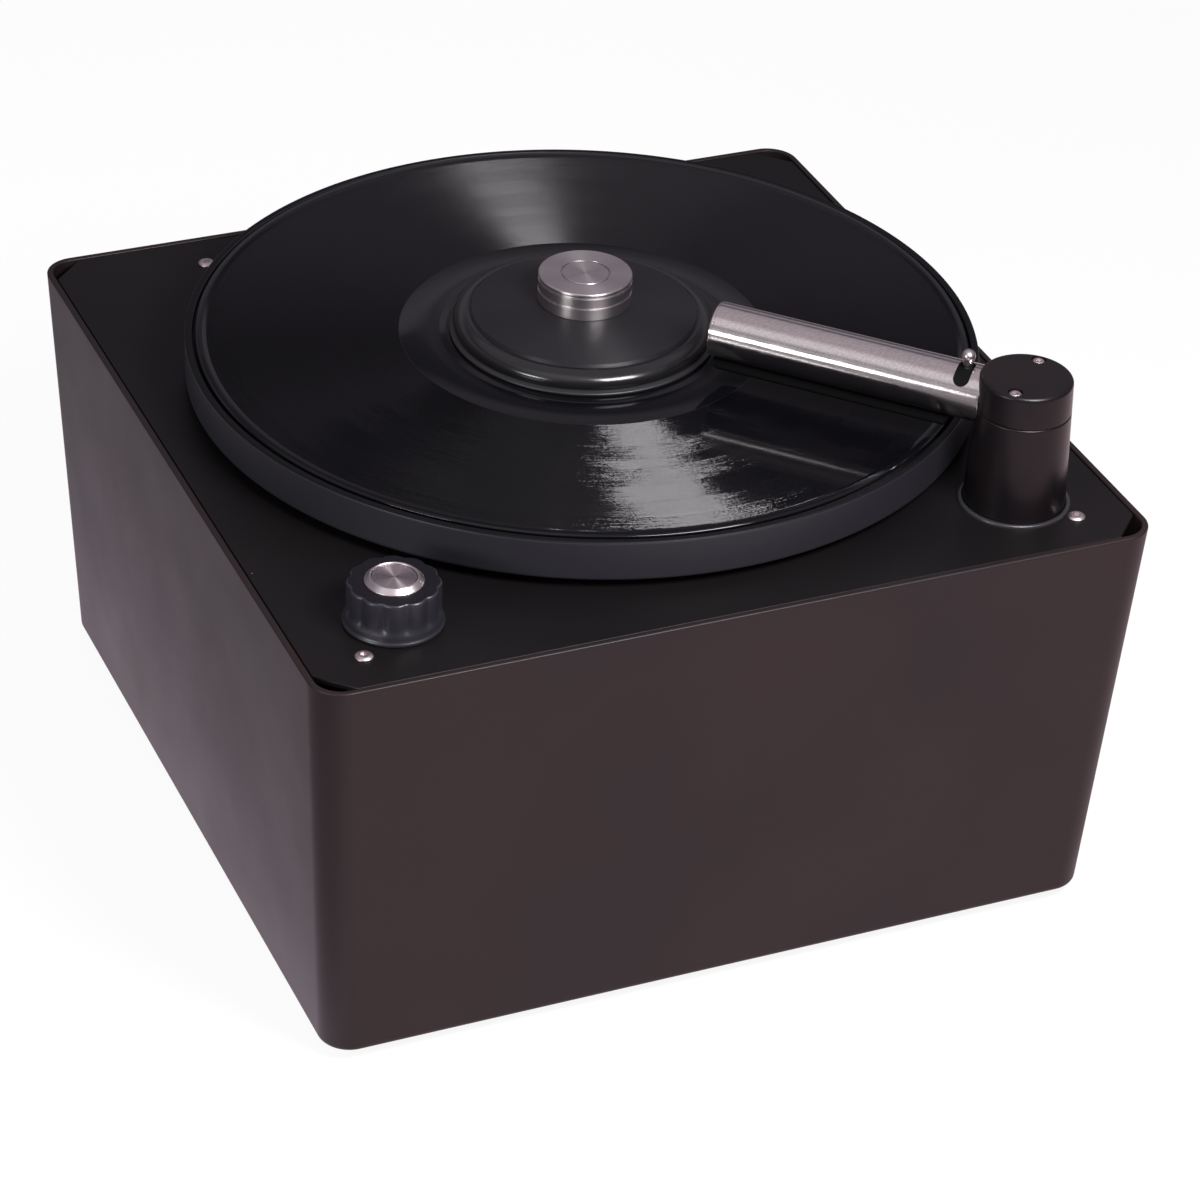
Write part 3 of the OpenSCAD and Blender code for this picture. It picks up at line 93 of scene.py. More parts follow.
def placeLamp(spec):
    data = bpy.data.lights.new(spec["name"], "AREA")
    data.shape = "RECTANGLE"
    data.size = spec["wide"] * mm
    data.size_y = spec["tall"] * mm
    data.energy = spec["watts"]
    data.color = spec.get("tint", (1, 1, 1))
    lamp = bpy.data.objects.new(spec["name"], data)
    lamp.visible_glossy = spec.get("mirrored", True)
    scene.collection.objects.link(lamp)
    compass, rise = math.radians(spec["compass"]), math.radians(spec["rise"])
    towards = Vector((math.cos(rise) * math.cos(compass), math.cos(rise) * math.sin(compass), math.sin(rise)))
    lamp.location = (towards * spec["away"] + lampTarget) * mm
    lamp.rotation_euler = towards.to_track_quat("Z", "Y").to_euler()


for lampSpec in lamps:
    placeLamp(lampSpec)


def addNode(tree, kind, inputs=None, **settings):
    node = tree.nodes.new(kind)
    for key, value in settings.items():
        setattr(node, key, value)
    for key, value in (inputs or {}).items():
        socket = node.inputs[key]
        if isinstance(value, bpy.types.NodeSocket):
            tree.links.new(value, socket)
        else:
            socket.default_value = value
    return node


def calc(tree, operation, *values):
    return addNode(tree, "ShaderNodeMath", dict(enumerate(values)), operation=operation).outputs[0]


def vary(tree, value, middle, spread):
    # a value from 0 to 1 becomes the middle, give or take half the spread
    return calc(tree, "MULTIPLY_ADD", value, spread, middle - spread / 2)


def vectors(tree, operation, first, second=None):
    inputs = {0: first}
    if second is not None:
        inputs["Scale" if operation == "SCALE" else 1] = second
    node = addNode(tree, "ShaderNodeVectorMath", inputs, operation=operation)
    return node.outputs["Value" if operation in ("LENGTH", "DOT_PRODUCT") else 0]


def blend(tree, factor, first, second):
    node = addNode(tree, "ShaderNodeMix", {0: factor}, data_type="RGBA")
    for socket, value in ((node.inputs[6], first), (node.inputs[7], second)):
        if isinstance(value, bpy.types.NodeSocket):
            tree.links.new(value, socket)
        else:
            socket.default_value = (*value, 1)
    return node.outputs[2]


def ramp(tree, factor, *stops, stepped=False):
    node = addNode(tree, "ShaderNodeValToRGB", {0: factor})
    bar = node.color_ramp
    bar.interpolation = "CONSTANT" if stepped else "LINEAR"
    while len(bar.elements) < len(stops):
        bar.elements.new(0.5)
    for element, (place, colour) in zip(bar.elements, stops):
        element.position = place
        element.color = (*colour, 1) if isinstance(colour, tuple) else (colour, colour, colour, 1)
    return node.outputs[0]


room = {
    # light of the surroundings by the sine of their height: 0 at the horizon, 1 straight up
    "sky": [(0.0, (0.05, 0.045, 0.052)), (0.12, (0.06, 0.055, 0.062)), (0.3, (0.2, 0.178, 0.205)),
            (0.45, (0.44, 0.39, 0.46)), (0.486, (0.38, 0.335, 0.395)), (0.494, (0.1, 0.09, 0.1)),
            (0.6, (0.1, 0.09, 0.1)), (0.68, (0.42, 0.37, 0.42)), (1.0, (0.52, 0.46, 0.5))],
    "upperLeft": (-0.47, -0.4, 0.79), "upperLeftLift": [(0.86, 0.0), (0.96, 0.45)],
    # light of the floor as polished walls mirror it, by metres to the left of the middle
    "leftGlow": [(0.155, (1.0, 0.75, 0.8)), (0.165, (1.25, 1.05, 1.22)), (0.19, (0.85, 0.73, 0.83)),
                 (0.25, (0.5, 0.43, 0.49)), (0.45, (0.22, 0.19, 0.22))],
    "farGlow": (0.3, 0.27, 0.3), "farFade": [(0.55, 0.0), (0.95, 1.0)],
    "floorSize": 40, "paper": (0.86, 0.86, 0.86, 1), "paperGlow": (1.06, 1.06, 1.06), "glowShare": 0.85,
}


def makeBackdrop():
    world = bpy.data.worlds.new("room")
    scene.world = world
    world.use_nodes = True
    tree = world.node_tree
    where = addNode(tree, "ShaderNodeTexCoord").outputs["Generated"]
    height = addNode(tree, "ShaderNodeSeparateXYZ", {0: where}).outputs[2]
    upperLeft = vectors(tree, "DOT_PRODUCT", where, room["upperLeft"])
    glow = vectors(tree, "ADD", ramp(tree, height, *room["sky"]), ramp(tree, upperLeft, *room["upperLeftLift"]))
    seen = addNode(tree, "ShaderNodeLightPath").outputs["Is Camera Ray"]
    tree.links.new(blend(tree, seen, glow, (1, 1, 1)), tree.nodes["Background"].inputs["Color"])


def makeFloor():
    # white paper; mirrored in the object it is darker, and brightest just left of the casing
    bpy.ops.mesh.primitive_plane_add(size=room["floorSize"])
    floor = bpy.context.object
    floor.name = "floor"
    paper = bpy.data.materials.new("paper")
    paper.use_nodes = True
    tree = paper.node_tree
    tree.nodes.clear()
    rays = addNode(tree, "ShaderNodeLightPath").outputs
    seen = calc(tree, "MAXIMUM", rays["Is Camera Ray"], rays["Is Transmission Ray"])
    mirrored = rays["Is Glossy Ray"]
    share = calc(tree, "MAXIMUM", calc(tree, "MULTIPLY", seen, room["glowShare"]), mirrored)
    spot = addNode(tree, "ShaderNodeNewGeometry").outputs["Position"]
    left = calc(tree, "MULTIPLY", addNode(tree, "ShaderNodeSeparateXYZ", {0: spot}).outputs[0], -1.0)
    far = ramp(tree, vectors(tree, "LENGTH", spot), *room["farFade"])
    mirrorGlow = blend(tree, far, ramp(tree, left, *room["leftGlow"]), room["farGlow"])
    sheet = addNode(tree, "ShaderNodeBsdfDiffuse", {"Color": room["paper"]})
    white = addNode(tree, "ShaderNodeEmission", {"Color": blend(tree, mirrored, room["paperGlow"], mirrorGlow)})
    mixed = addNode(tree, "ShaderNodeMixShader", {0: share, 1: sheet.outputs[0], 2: white.outputs[0]})
    addNode(tree, "ShaderNodeOutputMaterial", {0: mixed.outputs[0]})
    floor.data.materials.append(paper)


makeBackdrop()
makeFloor()
print("camera, lamps and floor placed")

# finishes


def startFinish(name, colour, rough, metal=0.0, **sockets):
    material = bpy.data.materials.new(name)
    material.use_nodes = True
    tree = material.node_tree
    shader = tree.nodes["Principled BSDF"]
    shader.inputs["Base Color"].default_value = (*colour, 1)
    shader.inputs["Roughness"].default_value = rough
    shader.inputs["Metallic"].default_value = metal
    for key, value in sockets.items():
        shader.inputs[key.replace("_", " ")].default_value = value
    return tree, shader


def feed(shader, **values):
    for key, value in values.items():
        shader.id_data.links.new(value, shader.inputs[key.replace("_", " ")])


def onPiece(tree, centre=(0, 0, 0), turn=0.0, stretch=(1, 1, 1)):
    where = addNode(tree, "ShaderNodeTexCoord").outputs["Object"]
    moved = vectors(tree, "ADD", where, tuple(-c * mm for c in centre))
    if turn == 0.0 and stretch == (1, 1, 1):
        return moved
    mapping = addNode(tree, "ShaderNodeMapping", {"Vector": moved})
    mapping.inputs["Rotation"].default_value = (0, 0, math.radians(-turn))
    mapping.inputs["Scale"].default_value = stretch
    return mapping.outputs[0]


def noise(tree, where, grain, detail=3.0, rough=0.5):
    # grain is the size of a feature in millimetres
    node = addNode(tree, "ShaderNodeTexNoise", {"Vector": where, "Scale": 1 / (grain * mm), "Detail": detail,
                                               "Roughness": rough})
    return node.outputs[0]


def emboss(tree, shader, height, strength, depth):
    bump = addNode(tree, "ShaderNodeBump", {"Height": height, "Strength": strength, "Distance": depth * mm})
    if shader.inputs["Normal"].is_linked:
        tree.links.new(shader.inputs["Normal"].links[0].from_socket, bump.inputs["Normal"])
    feed(shader, Normal=bump.outputs[0])


def radiusFrom(tree, where):
    return vectors(tree, "LENGTH", vectors(tree, "MULTIPLY", where, (1, 1, 0)))


def spreadAcross(tree, shader, where):
    # direction across marks that run round an upright axis, for the shader's anisotropy
    flat = vectors(tree, "MULTIPLY", where, (1, 1, 0))
    around = vectors(tree, "CROSS_PRODUCT", (0, 0, 1), flat)
    inWorld = addNode(tree, "ShaderNodeVectorTransform", {0: around}, vector_type="VECTOR",
                      convert_from="OBJECT", convert_to="WORLD").outputs[0]
    normal = addNode(tree, "ShaderNodeNewGeometry").outputs["Normal"]
    feed(shader, Tangent=vectors(tree, "NORMALIZE", vectors(tree, "CROSS_PRODUCT", normal, inWorld)))


def addDust(tree, shader, where, amount, spacing=9.0, base=None):
    # sparse pale specks, one here and there in a cell pattern
    cells = addNode(tree, "ShaderNodeTexVoronoi", {"Vector": where, "Scale": 1 / (spacing * mm)}).outputs
    speck = calc(tree, "LESS_THAN", cells["Distance"], 0.022)
    pick = addNode(tree, "ShaderNodeSeparateColor", {0: cells["Color"]}).outputs[0]
    speck = calc(tree, "MULTIPLY", speck, calc(tree, "GREATER_THAN", pick, 1.0 - amount))
    below = base if base is not None else tuple(shader.inputs["Base Color"].default_value)[:3]
    feed(shader, Base_Color=blend(tree, speck, below, (0.3, 0.29, 0.28)))


def paintFinish(name, dark, warm, rough, peel, patch, dust, spec):
    # black paint: slow drift of tone, fine orange peel, slightly uneven gloss
    tree, shader = startFinish(name, dark, rough, Specular_IOR_Level=spec)
    where = onPiece(tree)
    drift = noise(tree, where, patch, 2.0)
    tone = blend(tree, ramp(tree, drift, (0.35, 0.0), (0.65, 1.0)), dark, warm)
    smear = noise(tree, where, patch * 0.4, 4.0)
    feed(shader, Base_Color=tone, Roughness=vary(tree, smear, rough, 0.12))
    emboss(tree, shader, noise(tree, where, 0.9, 2.0), peel, 0.02)
    if dust:
        addDust(tree, shader, where, dust, base=tone)


def turnedFinish(name, colour, rough, metal, aniso, centre, lines, spec=0.5, lineDepth=0.01):
    # lathe-turned surface: marks run round the axis, so its gloss spreads across them
    tree, shader = startFinish(name, colour, rough, metal, Anisotropic=aniso, Specular_IOR_Level=spec)
    where = onPiece(tree, centre)
    spreadAcross(tree, shader, where)
    height = addNode(tree, "ShaderNodeSeparateXYZ", {0: where}).outputs[2]
    along = calc(tree, "ADD", radiusFrom(tree, where), height)
    marks = addNode(tree, "ShaderNodeTexNoise", {"W": along, "Scale": 1 / (lines * mm), "Detail": 4.0},
                    noise_dimensions="1D").outputs[0]
    emboss(tree, shader, marks, 0.25, lineDepth)
    shade = vectors(tree, "SCALE", colour, vary(tree, marks, 1.0, 0.16))
    wear = noise(tree, where, 6.0, 4.0)
    feed(shader, Base_Color=shade, Roughness=vary(tree, wear, rough, 0.08))


platterAxis = (6.5, 11.6, 0)
knobAxis = (-124.5, -127.5, 0)
turretAxis = (125.8, -127.0, 0)
tubeAxis = (125.8, -127.0, 214.4)
tubeDirection = 133.8

paints = {  # two tones, roughness, depth of the peel, size of the tone patches, dust, gloss
    "casingPaint": ((0.0098, 0.0066, 0.0078), (0.0135, 0.0074, 0.0074), 0.45, 0.35, 90.0, 0.0, 0.32),
    "platePaint": ((0.0045, 0.004, 0.0045), (0.006, 0.005, 0.0055), 0.42, 0.3, 90.0, 0.04, 0.17),
    "turretPaint": ((0.003, 0.0033, 0.005), (0.0065, 0.0042, 0.0045), 0.3, 0.12, 26.0, 0.0, 0.29),
}
turnedFinishes = {  # colour, roughness, metal, spread of the gloss, axis, width of the marks, gloss, their depth
    "platterPaint": ((0.0165, 0.016, 0.02), 0.42, 0.0, 0.4, platterAxis, 0.6, 0.3),
    # painted shade: a darker, less glossy copy of the platter paint for its upward faces
    "platterTop": ((0.0035, 0.0035, 0.0042), 0.45, 0.0, 0.0, platterAxis, 0.6, 0.12),
    "clampPlastic": ((0.009, 0.0085, 0.0105), 0.46, 0.0, 0.75, platterAxis, 0.5, 0.35),
    "clampGloss": ((0.007, 0.007, 0.008), 0.2, 0.0, 0.0, platterAxis, 0.5, 0.6, 0.004),
    "clampSteel": ((0.66, 0.62, 0.62), 0.3, 1.0, 0.75, platterAxis, 0.3),
    "buttonSteel": ((0.58, 0.52, 0.53), 0.27, 1.0, 0.96, knobAxis, 0.25),
    "bezelSteel": ((0.66, 0.6, 0.61), 0.38, 1.0, 0.5, knobAxis, 0.25),
    "ringSteel": ((0.02, 0.02, 0.022), 0.3, 0.0, 0.0, turretAxis, 0.3, 0.6),
}
metals = {  # colour, roughness, grain, depth of the grain
    "screwSteel": ((0.56, 0.49, 0.49), 0.42, 0.5, 0.01),
    "pinSteel": ((0.62, 0.57, 0.56), 0.3, 0.6, 0.01),
    "zincSheet": ((0.5, 0.5, 0.51), 0.42, 2.0, 0.02),
    "castAlloy": ((0.55, 0.56, 0.58), 0.36, 0.8, 0.02),
    "bronzeBush": ((0.5, 0.32, 0.14), 0.36, 0.5, 0.02),
}
moulded = {  # colour, roughness, grain, depth and strength of the grain, gloss
    "knobPlastic": ((0.0165, 0.016, 0.021), 0.34, 0.5, 0.02, 0.25),
    # painted shade: a darker, less glossy copy of the knob plastic for its flat top
    "knobTop": ((0.0055, 0.0052, 0.0075), 0.42, 0.5, 0.02, 0.25, 0.16),
    # painted shade: near-black finish for the stub seen through the tube's slot, so the slot reads as a dark hole
    "stubBlack": ((0.002, 0.002, 0.0022), 0.7, 0.5, 0.02, 0.25, 0.08),
    "fittingPlastic": ((0.014, 0.014, 0.015), 0.4, 0.6),
    "footRubber": ((0.014, 0.014, 0.014), 0.62, 0.7, 0.05),
    "matRubber": ((0.03, 0.03, 0.032), 0.7, 0.8, 0.05),
    "motorPaint": ((0.12, 0.125, 0.135), 0.42, 0.9),
    "boardGreen": ((0.02, 0.09, 0.045), 0.4, 1.2),
    "hoseRubber": ((0.03, 0.03, 0.034), 0.5, 1.0, 0.06),
    "tankPlastic": ((0.62, 0.64, 0.66), 0.4, 1.6, 0.03),
    "nylonWhite": ((0.7, 0.7, 0.66), 0.45, 1.0),
}


def lipFinish():
    tree, shader = startFinish("lipRubber", (0.011, 0.011, 0.012), 0.36)
    where = onPiece(tree, platterAxis)
    emboss(tree, shader, noise(tree, where, 1.2), 0.2, 0.02)
    feed(shader, Roughness=ramp(tree, noise(tree, where, 14.0, 4.0), (0.3, 0.3), (0.7, 0.44)))


vinylSizes = {
    "edges": [71.5, 86.6, 98.0, 104.2, 116.2, 127.6, 137.6],  # inner edge of each track, with a shallow dip
    "lastGroove": 146.4, "dipWidth": 0.5, "dip": 0.06, "widest": 160,
    "pitch": 0.26, "land": 0.27, "landRough": 0.06,  # land is the flat share of a groove's width
    "outTilt": 48.0, "inTilt": 54.0, "tiltSpread": 0.14, "outRough": 0.5, "inRough": 1.14, "leanIn": 0.12,
    # track by track from the inside: sideways slope of the walls, how far it swings, and their roughness
    "lean": [0.0, -0.03, 0.03, -0.02, 0.04, 0.0, -0.02],
    "swing": [0.14, 0.28, 0.14, 0.26, 0.08, 0.12, 0.3],
    "rough": [0.22, 0.24, 0.22, 0.24, 0.21, 0.24, 0.21],
    "streakLong": 8.0, "streakFine": 0.6, "streakShare": 2.4, "grain": 0.4, "grainShare": 0.8,
}


def vinylFinish():
    tree, shader = startFinish("vinylSmooth", (0.003, 0.003, 0.004), 0.14, Specular_IOR_Level=0.29)
    where = onPiece(tree, platterAxis)
    feed(shader, Roughness=ramp(tree, noise(tree, where, 22.0, 3.0), (0.3, 0.06), (0.7, 0.1)))


def grooveFinish():
    # grooves finer than a pixel: flat land, then one wall leaning out and one leaning in, again and again
    v = vinylSizes
    tree, shader = startFinish("vinylGroove", (0.0018, 0.0018, 0.0028), 0.3, Specular_IOR_Level=0.3)
    where = onPiece(tree, platterAxis)
    radius = radiusFrom(tree, where)
    outward = vectors(tree, "NORMALIZE", vectors(tree, "MULTIPLY", where, (1, 1, 0)))
    around = vectors(tree, "CROSS_PRODUCT", (0, 0, 1), outward)
    turns = calc(tree, "DIVIDE", radius, v["pitch"] * mm)
    place = calc(tree, "FRACT", turns)
    half = (1 + v["land"]) / 2
    side = calc(tree, "SUBTRACT", calc(tree, "MULTIPLY", calc(tree, "LESS_THAN", place, half), 2.0), 1.0)
    side = calc(tree, "MULTIPLY", side, calc(tree, "GREATER_THAN", place, v["land"]))  # 1, -1, or 0 on the land

    def byWall(out, inner):
        # one value on walls leaning out, another on walls leaning in, none on the land
        even = calc(tree, "MULTIPLY", calc(tree, "ABSOLUTE", side), (out + inner) / 2)
        return calc(tree, "MULTIPLY_ADD", side, (out - inner) / 2, even)

    edges = [0.0] + [edge / v["widest"] for edge in v["edges"][1:]]
    track = calc(tree, "DIVIDE", radius, v["widest"] * mm)
    swing = ramp(tree, track, *zip(edges, v["swing"]), stepped=True)
    streakPlace = vectors(tree, "SCALE", outward, v["streakLong"])
    turnsUp = addNode(tree, "ShaderNodeCombineXYZ", {2: calc(tree, "MULTIPLY", turns, v["streakFine"])}).outputs[0]
    streakPlace = vectors(tree, "ADD", streakPlace, turnsUp)
    slow = addNode(tree, "ShaderNodeTexNoise", {"Vector": streakPlace, "Scale": 1.0, "Detail": 3.0}).outputs[0]
    cells = vectors(tree, "SNAP", where, (v["grain"] * mm, v["grain"] * mm, 1))
    quick = addNode(tree, "ShaderNodeTexWhiteNoise", {"Vector": cells}).outputs["Value"]
    streak = calc(tree, "MULTIPLY", calc(tree, "SUBTRACT", slow, 0.5), v["streakShare"])
    grain = calc(tree, "MULTIPLY", calc(tree, "SUBTRACT", quick, 0.5), v["grainShare"])
    lean = calc(tree, "MULTIPLY", calc(tree, "ADD", streak, grain), swing)
    offset = ramp(tree, track, *((e, 0.5 + k) for e, k in zip(edges, v["lean"])), stepped=True)
    lean = calc(tree, "ADD", lean, calc(tree, "SUBTRACT", offset, 0.5))
    lean = calc(tree, "MULTIPLY", lean, byWall(1.0, v["leanIn"]))
    again = calc(tree, "FRACT", calc(tree, "MULTIPLY", quick, 7.0))  # a second random value for the same cell
    spread = vary(tree, again, 1.0, v["tiltSpread"])
    steep = byWall(math.tan(math.radians(v["outTilt"])), -math.tan(math.radians(v["inTilt"])))
    slope = vectors(tree, "SCALE", outward, calc(tree, "MULTIPLY", steep, spread))
    drift = vectors(tree, "SCALE", around, lean)
    facing = vectors(tree, "ADD", vectors(tree, "ADD", slope, drift), (0, 0, 1))
    facing = addNode(tree, "ShaderNodeVectorTransform", {0: facing}, vector_type="NORMAL", convert_from="OBJECT",
                     convert_to="WORLD").outputs[0]
    feed(shader, Normal=vectors(tree, "NORMALIZE", facing))
    rough = ramp(tree, track, *zip(edges, v["rough"]), stepped=True)
    rough = calc(tree, "MULTIPLY", rough, byWall(v["outRough"], v["inRough"]))
    feed(shader, Roughness=calc(tree, "MAXIMUM", rough, v["landRough"]))
    addDust(tree, shader, where, 0.05, 11.0)


def tubeFinish():
    tree, shader = startFinish("tubeSteel", (0.66, 0.62, 0.615), 0.2, 1.0)
    along = onPiece(tree, tubeAxis, tubeDirection, (0.04, 1, 1))
    streak = noise(tree, along, 0.5, 3.0)
    emboss(tree, shader, streak, 0.2, 0.01)
    where = onPiece(tree)
    smear = noise(tree, where, 9.0, 5.0)
    feed(shader, Roughness=ramp(tree, smear, (0.25, 0.12), (0.75, 0.2)))
    feed(shader, Base_Color=ramp(tree, streak, (0.25, (0.52, 0.485, 0.475)), (0.75, (0.7, 0.66, 0.655))))


def metalFinish(name, colour, rough, grain, depth):
    tree, shader = startFinish(name, colour, rough, 1.0)
    where = onPiece(tree)
    cloud = noise(tree, where, grain * 6, 4.0)
    tone = vectors(tree, "SCALE", colour, vary(tree, cloud, 1.0, 0.3))
    feed(shader, Base_Color=tone, Roughness=vary(tree, cloud, rough, 0.14))
    emboss(tree, shader, noise(tree, where, grain), 0.2, depth)


def mouldedFinish(name, colour, rough, grain, depth=0.03, strength=0.3, spec=0.5):
    tree, shader = startFinish(name, colour, rough, Specular_IOR_Level=spec)
    where = onPiece(tree)
    cloud = noise(tree, where, grain * 14, 3.0)
    tone = vectors(tree, "SCALE", colour, vary(tree, cloud, 1.0, 0.4))
    feed(shader, Base_Color=tone, Roughness=vary(tree, cloud, rough, 0.12))
    emboss(tree, shader, noise(tree, where, grain, 2.0), strength, depth)


def padFinish():
    tree, shader = startFinish("padPile", (0.002, 0.002, 0.0022), 0.95, Specular_IOR_Level=0.04)
    where = onPiece(tree)
    pile = noise(tree, where, 0.35, 4.0, 0.7)
    feed(shader, Base_Color=ramp(tree, pile, (0.3, (0.001, 0.001, 0.0011)), (0.7, (0.005, 0.0046, 0.005))))
    emboss(tree, shader, pile, 0.8, 0.3)


for make, table in ((paintFinish, paints), (turnedFinish, turnedFinishes), (metalFinish, metals),
                    (mouldedFinish, moulded)):
    for finishName, values in table.items():
        make(finishName, *values)
for make in (lipFinish, vinylFinish, grooveFinish, tubeFinish, padFinish):
    make()

slotFinish = {
    "casing_paint": "casingPaint", "plate_paint": "platePaint", "zinc_steel": "zincSheet",
    "bright_steel": "screwSteel", "platter_black": "platterPaint", "mat_rubber": "matRubber",
    "vinyl": "vinylGroove", "black_plastic": "fittingPlastic", "turret_black": "turretPaint",
    "black_rubber": "footRubber", "felt": "padPile", "bronze": "bronzeBush", "nylon": "nylonWhite",
    "alloy": "castAlloy", "motor_metal": "motorPaint", "circuit_board": "boardGreen",
    "hose_rubber": "hoseRubber", "tank_plastic": "tankPlastic",
}
print("finishes made:", len(bpy.data.materials))

# mesh tools


def softened(corners, hold=0.0, closed=True):
    # corners are (a, b) or (a, b, radius) or (a, b, radius, steps); rounded corners become arcs
    points = []
    count = len(corners)
    for i, corner in enumerate(corners):
        here = Vector(corner[:2])
        radius = corner[2] if len(corner) > 2 else 0
        if not radius or (not closed and i in (0, count - 1)):
            points.append((here.x, here.y))
            continue
        before = (Vector(corners[i - 1][:2]) - here)
        after = (Vector(corners[(i + 1) % count][:2]) - here)
        b, a = before.normalized(), after.normalized()
        half = math.acos(max(-1, min(1, b.dot(a)))) / 2
        reach = min(radius / math.tan(half), before.length * 0.49, after.length * 0.49)
        radius = reach * math.tan(half)
        centre = here + (b + a).normalized() * radius / math.sin(half)
        start, end = here + b * reach, here + a * reach
        steps = corner[3] if len(corner) > 3 else 4
        a0 = math.atan2(start.y - centre.y, start.x - centre.x)
        sweep = math.atan2(end.y - centre.y, end.x - centre.x) - a0
        sweep = (sweep + math.pi) % (2 * math.pi) - math.pi
        if hold and before.length > 3 * (reach + hold):
            p = here + b * (reach + hold)
            points.append((p.x, p.y))
        for k in range(steps + 1):
            t = a0 + sweep * k / steps
            points.append((centre.x + radius * math.cos(t), centre.y + radius * math.sin(t)))
        if hold and after.length > 3 * (reach + hold):
            p = here + a * (reach + hold)
            points.append((p.x, p.y))
    return points


def polar(radius, degrees, *height):
    angle = math.radians(degrees)
    return (radius * math.cos(angle), radius * math.sin(angle), *height)


def turned(outline, steps=128, closed=True):
    # (radius, height) pairs swept round the upright axis
    verts, faces, rows = [], [], []
    for radius, height in outline:
        if radius < 1e-6:
            rows.append([len(verts)] * steps)
            verts.append((0, 0, height))
        else:
            rows.append(list(range(len(verts), len(verts) + steps)))
            verts += [polar(radius, 360 * i / steps, height) for i in range(steps)]
    for low, high in zip(rows, rows[1:] + rows[:1] if closed else rows[1:]):
        for i in range(steps):
            j = (i + 1) % steps
            face = []
            for v in (low[i], low[j], high[j], high[i]):
                if v not in face:
                    face.append(v)
            if len(face) > 2:
                faces.append(face)
    return verts, faces


def lathe(corners, steps, hold=0.0, closed=True):
    return turned(softened(corners, hold, closed), steps, closed)


def drum(radius, low, high, steps=64):
    return turned([(0, low), (radius, low), (radius, high), (0, high)], steps, closed=False)


def lying(form):
    # an upright form laid along +X
    verts, faces = form
    return [(z, x, y) for x, y, z in verts], faces


def swept(rings, capped=False):
    # rings of equal length joined side by side: capped at both ends, or closed on themselves
    verts = [p for ring in rings for p in ring]
    n, count = len(rings[0]), len(rings)
    faces = [tuple(range(n)), tuple(range(len(verts) - n, len(verts)))] if capped else []
    for k in range(count - capped):
        for i in range(n):
            j, m = (i + 1) % n, (k + 1) % count
            faces.append((k * n + i, k * n + j, m * n + j, m * n + i))
    return verts, faces


def prism(outline, low, high):
    n = len(outline)
    verts = [(x, y, low) for x, y in outline] + [(x, y, high) for x, y in outline]
    faces = [list(range(n))[::-1], list(range(n, 2 * n))]
    faces += [(i, (i + 1) % n, n + (i + 1) % n, n + i) for i in range(n)]
    return verts, faces


def roundedBox(width, tall, radius, steps=6):
    points = []
    for quarter, (sx, sy) in enumerate(((1, 1), (-1, 1), (-1, -1), (1, -1))):
        for i in range(steps + 1):
            a = math.radians(90 * (quarter + i / steps))
            points.append((sx * (width / 2 - radius) + radius * math.cos(a),
                           sy * (tall / 2 - radius) + radius * math.sin(a)))
    return points


def addMesh(name, form, matrix=None):
    verts, faces = form
    mesh = bpy.data.meshes.new(name)
    place = matrix or Matrix.Identity(4)
    mesh.from_pydata([place @ Vector(v) * mm for v in verts], [], faces)
    piece = bpy.data.objects.new(name, mesh)
    scene.collection.objects.link(piece)
    tidyMesh(piece)
    return piece


def tidyMesh(piece, merge=0.00001):
    work = bmesh.new()
    work.from_mesh(piece.data)
    bmesh.ops.remove_doubles(work, verts=work.verts, dist=merge)
    bmesh.ops.dissolve_degenerate(work, edges=work.edges, dist=merge / 2)
    bmesh.ops.recalc_face_normals(work, faces=work.faces)
    work.to_mesh(piece.data)
    work.free()


def smoothShade(piece, angle=30):
    mesh = piece.data
    mesh.polygons.foreach_set("use_smooth", [True] * len(mesh.polygons))
    mesh.set_sharp_from_angle(angle=math.radians(angle))


def bake(piece):
    graph = bpy.context.evaluated_depsgraph_get()
    graph.update()
    mesh = bpy.data.meshes.new_from_object(piece.evaluated_get(graph), depsgraph=graph)
    piece.modifiers.clear()
    piece.data = mesh


def carve(piece, cutters, operation="DIFFERENCE"):
    for cutter in cutters:
        cut = piece.modifiers.new("carve", "BOOLEAN")
        cut.operation = operation
        cut.solver = "EXACT"
        cut.object = cutter
    bake(piece)
    for cutter in cutters:
        bpy.data.objects.remove(cutter)


def evenLight(piece):
    weigh = piece.modifiers.new("evenLight", "WEIGHTED_NORMAL")
    weigh.keep_sharp = True
    weigh.weight = 80


def roundEdges(piece, width, segments=3, angle=35):
    bevel = piece.modifiers.new("softEdge", "BEVEL")
    bevel.width = width * mm
    bevel.segments = segments
    bevel.limit_method = "ANGLE"
    bevel.angle_limit = math.radians(angle)
    bevel.harden_normals = False


def splitFinish(piece, finish, special, isSpecial):
    # a second finish on the faces that a test picks out
    for name in (finish, special):
        piece.data.materials.append(bpy.data.materials[name])
    for face in piece.data.polygons:
        face.material_index = int(isSpecial(face))


def fromAxis(face, axis):
    return (face.center - Vector(axis) * mm).xy.length / mm


def dress(piece, finish, body, slotName, *stoodFor, angle=30):
    if finish and not piece.data.materials:
        piece.data.materials.append(bpy.data.materials[finish])
    smoothShade(piece, angle)
    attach(piece, body)
    if stoodFor:
        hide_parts(*stoodFor)
    return piece


def at(x, y, z=0.0):
    return Matrix.Translation((x, y, z))


def turn(angle, axis):
    return Matrix.Rotation(math.radians(angle), 4, axis)


def join(first, *others):
    work = bmesh.new()
    work.from_mesh(first.data)
    for other in others:
        work.from_mesh(other.data)
    work.to_mesh(first.data)
    work.free()
    for other in others:
        bpy.data.objects.remove(other)

# repeated fittings


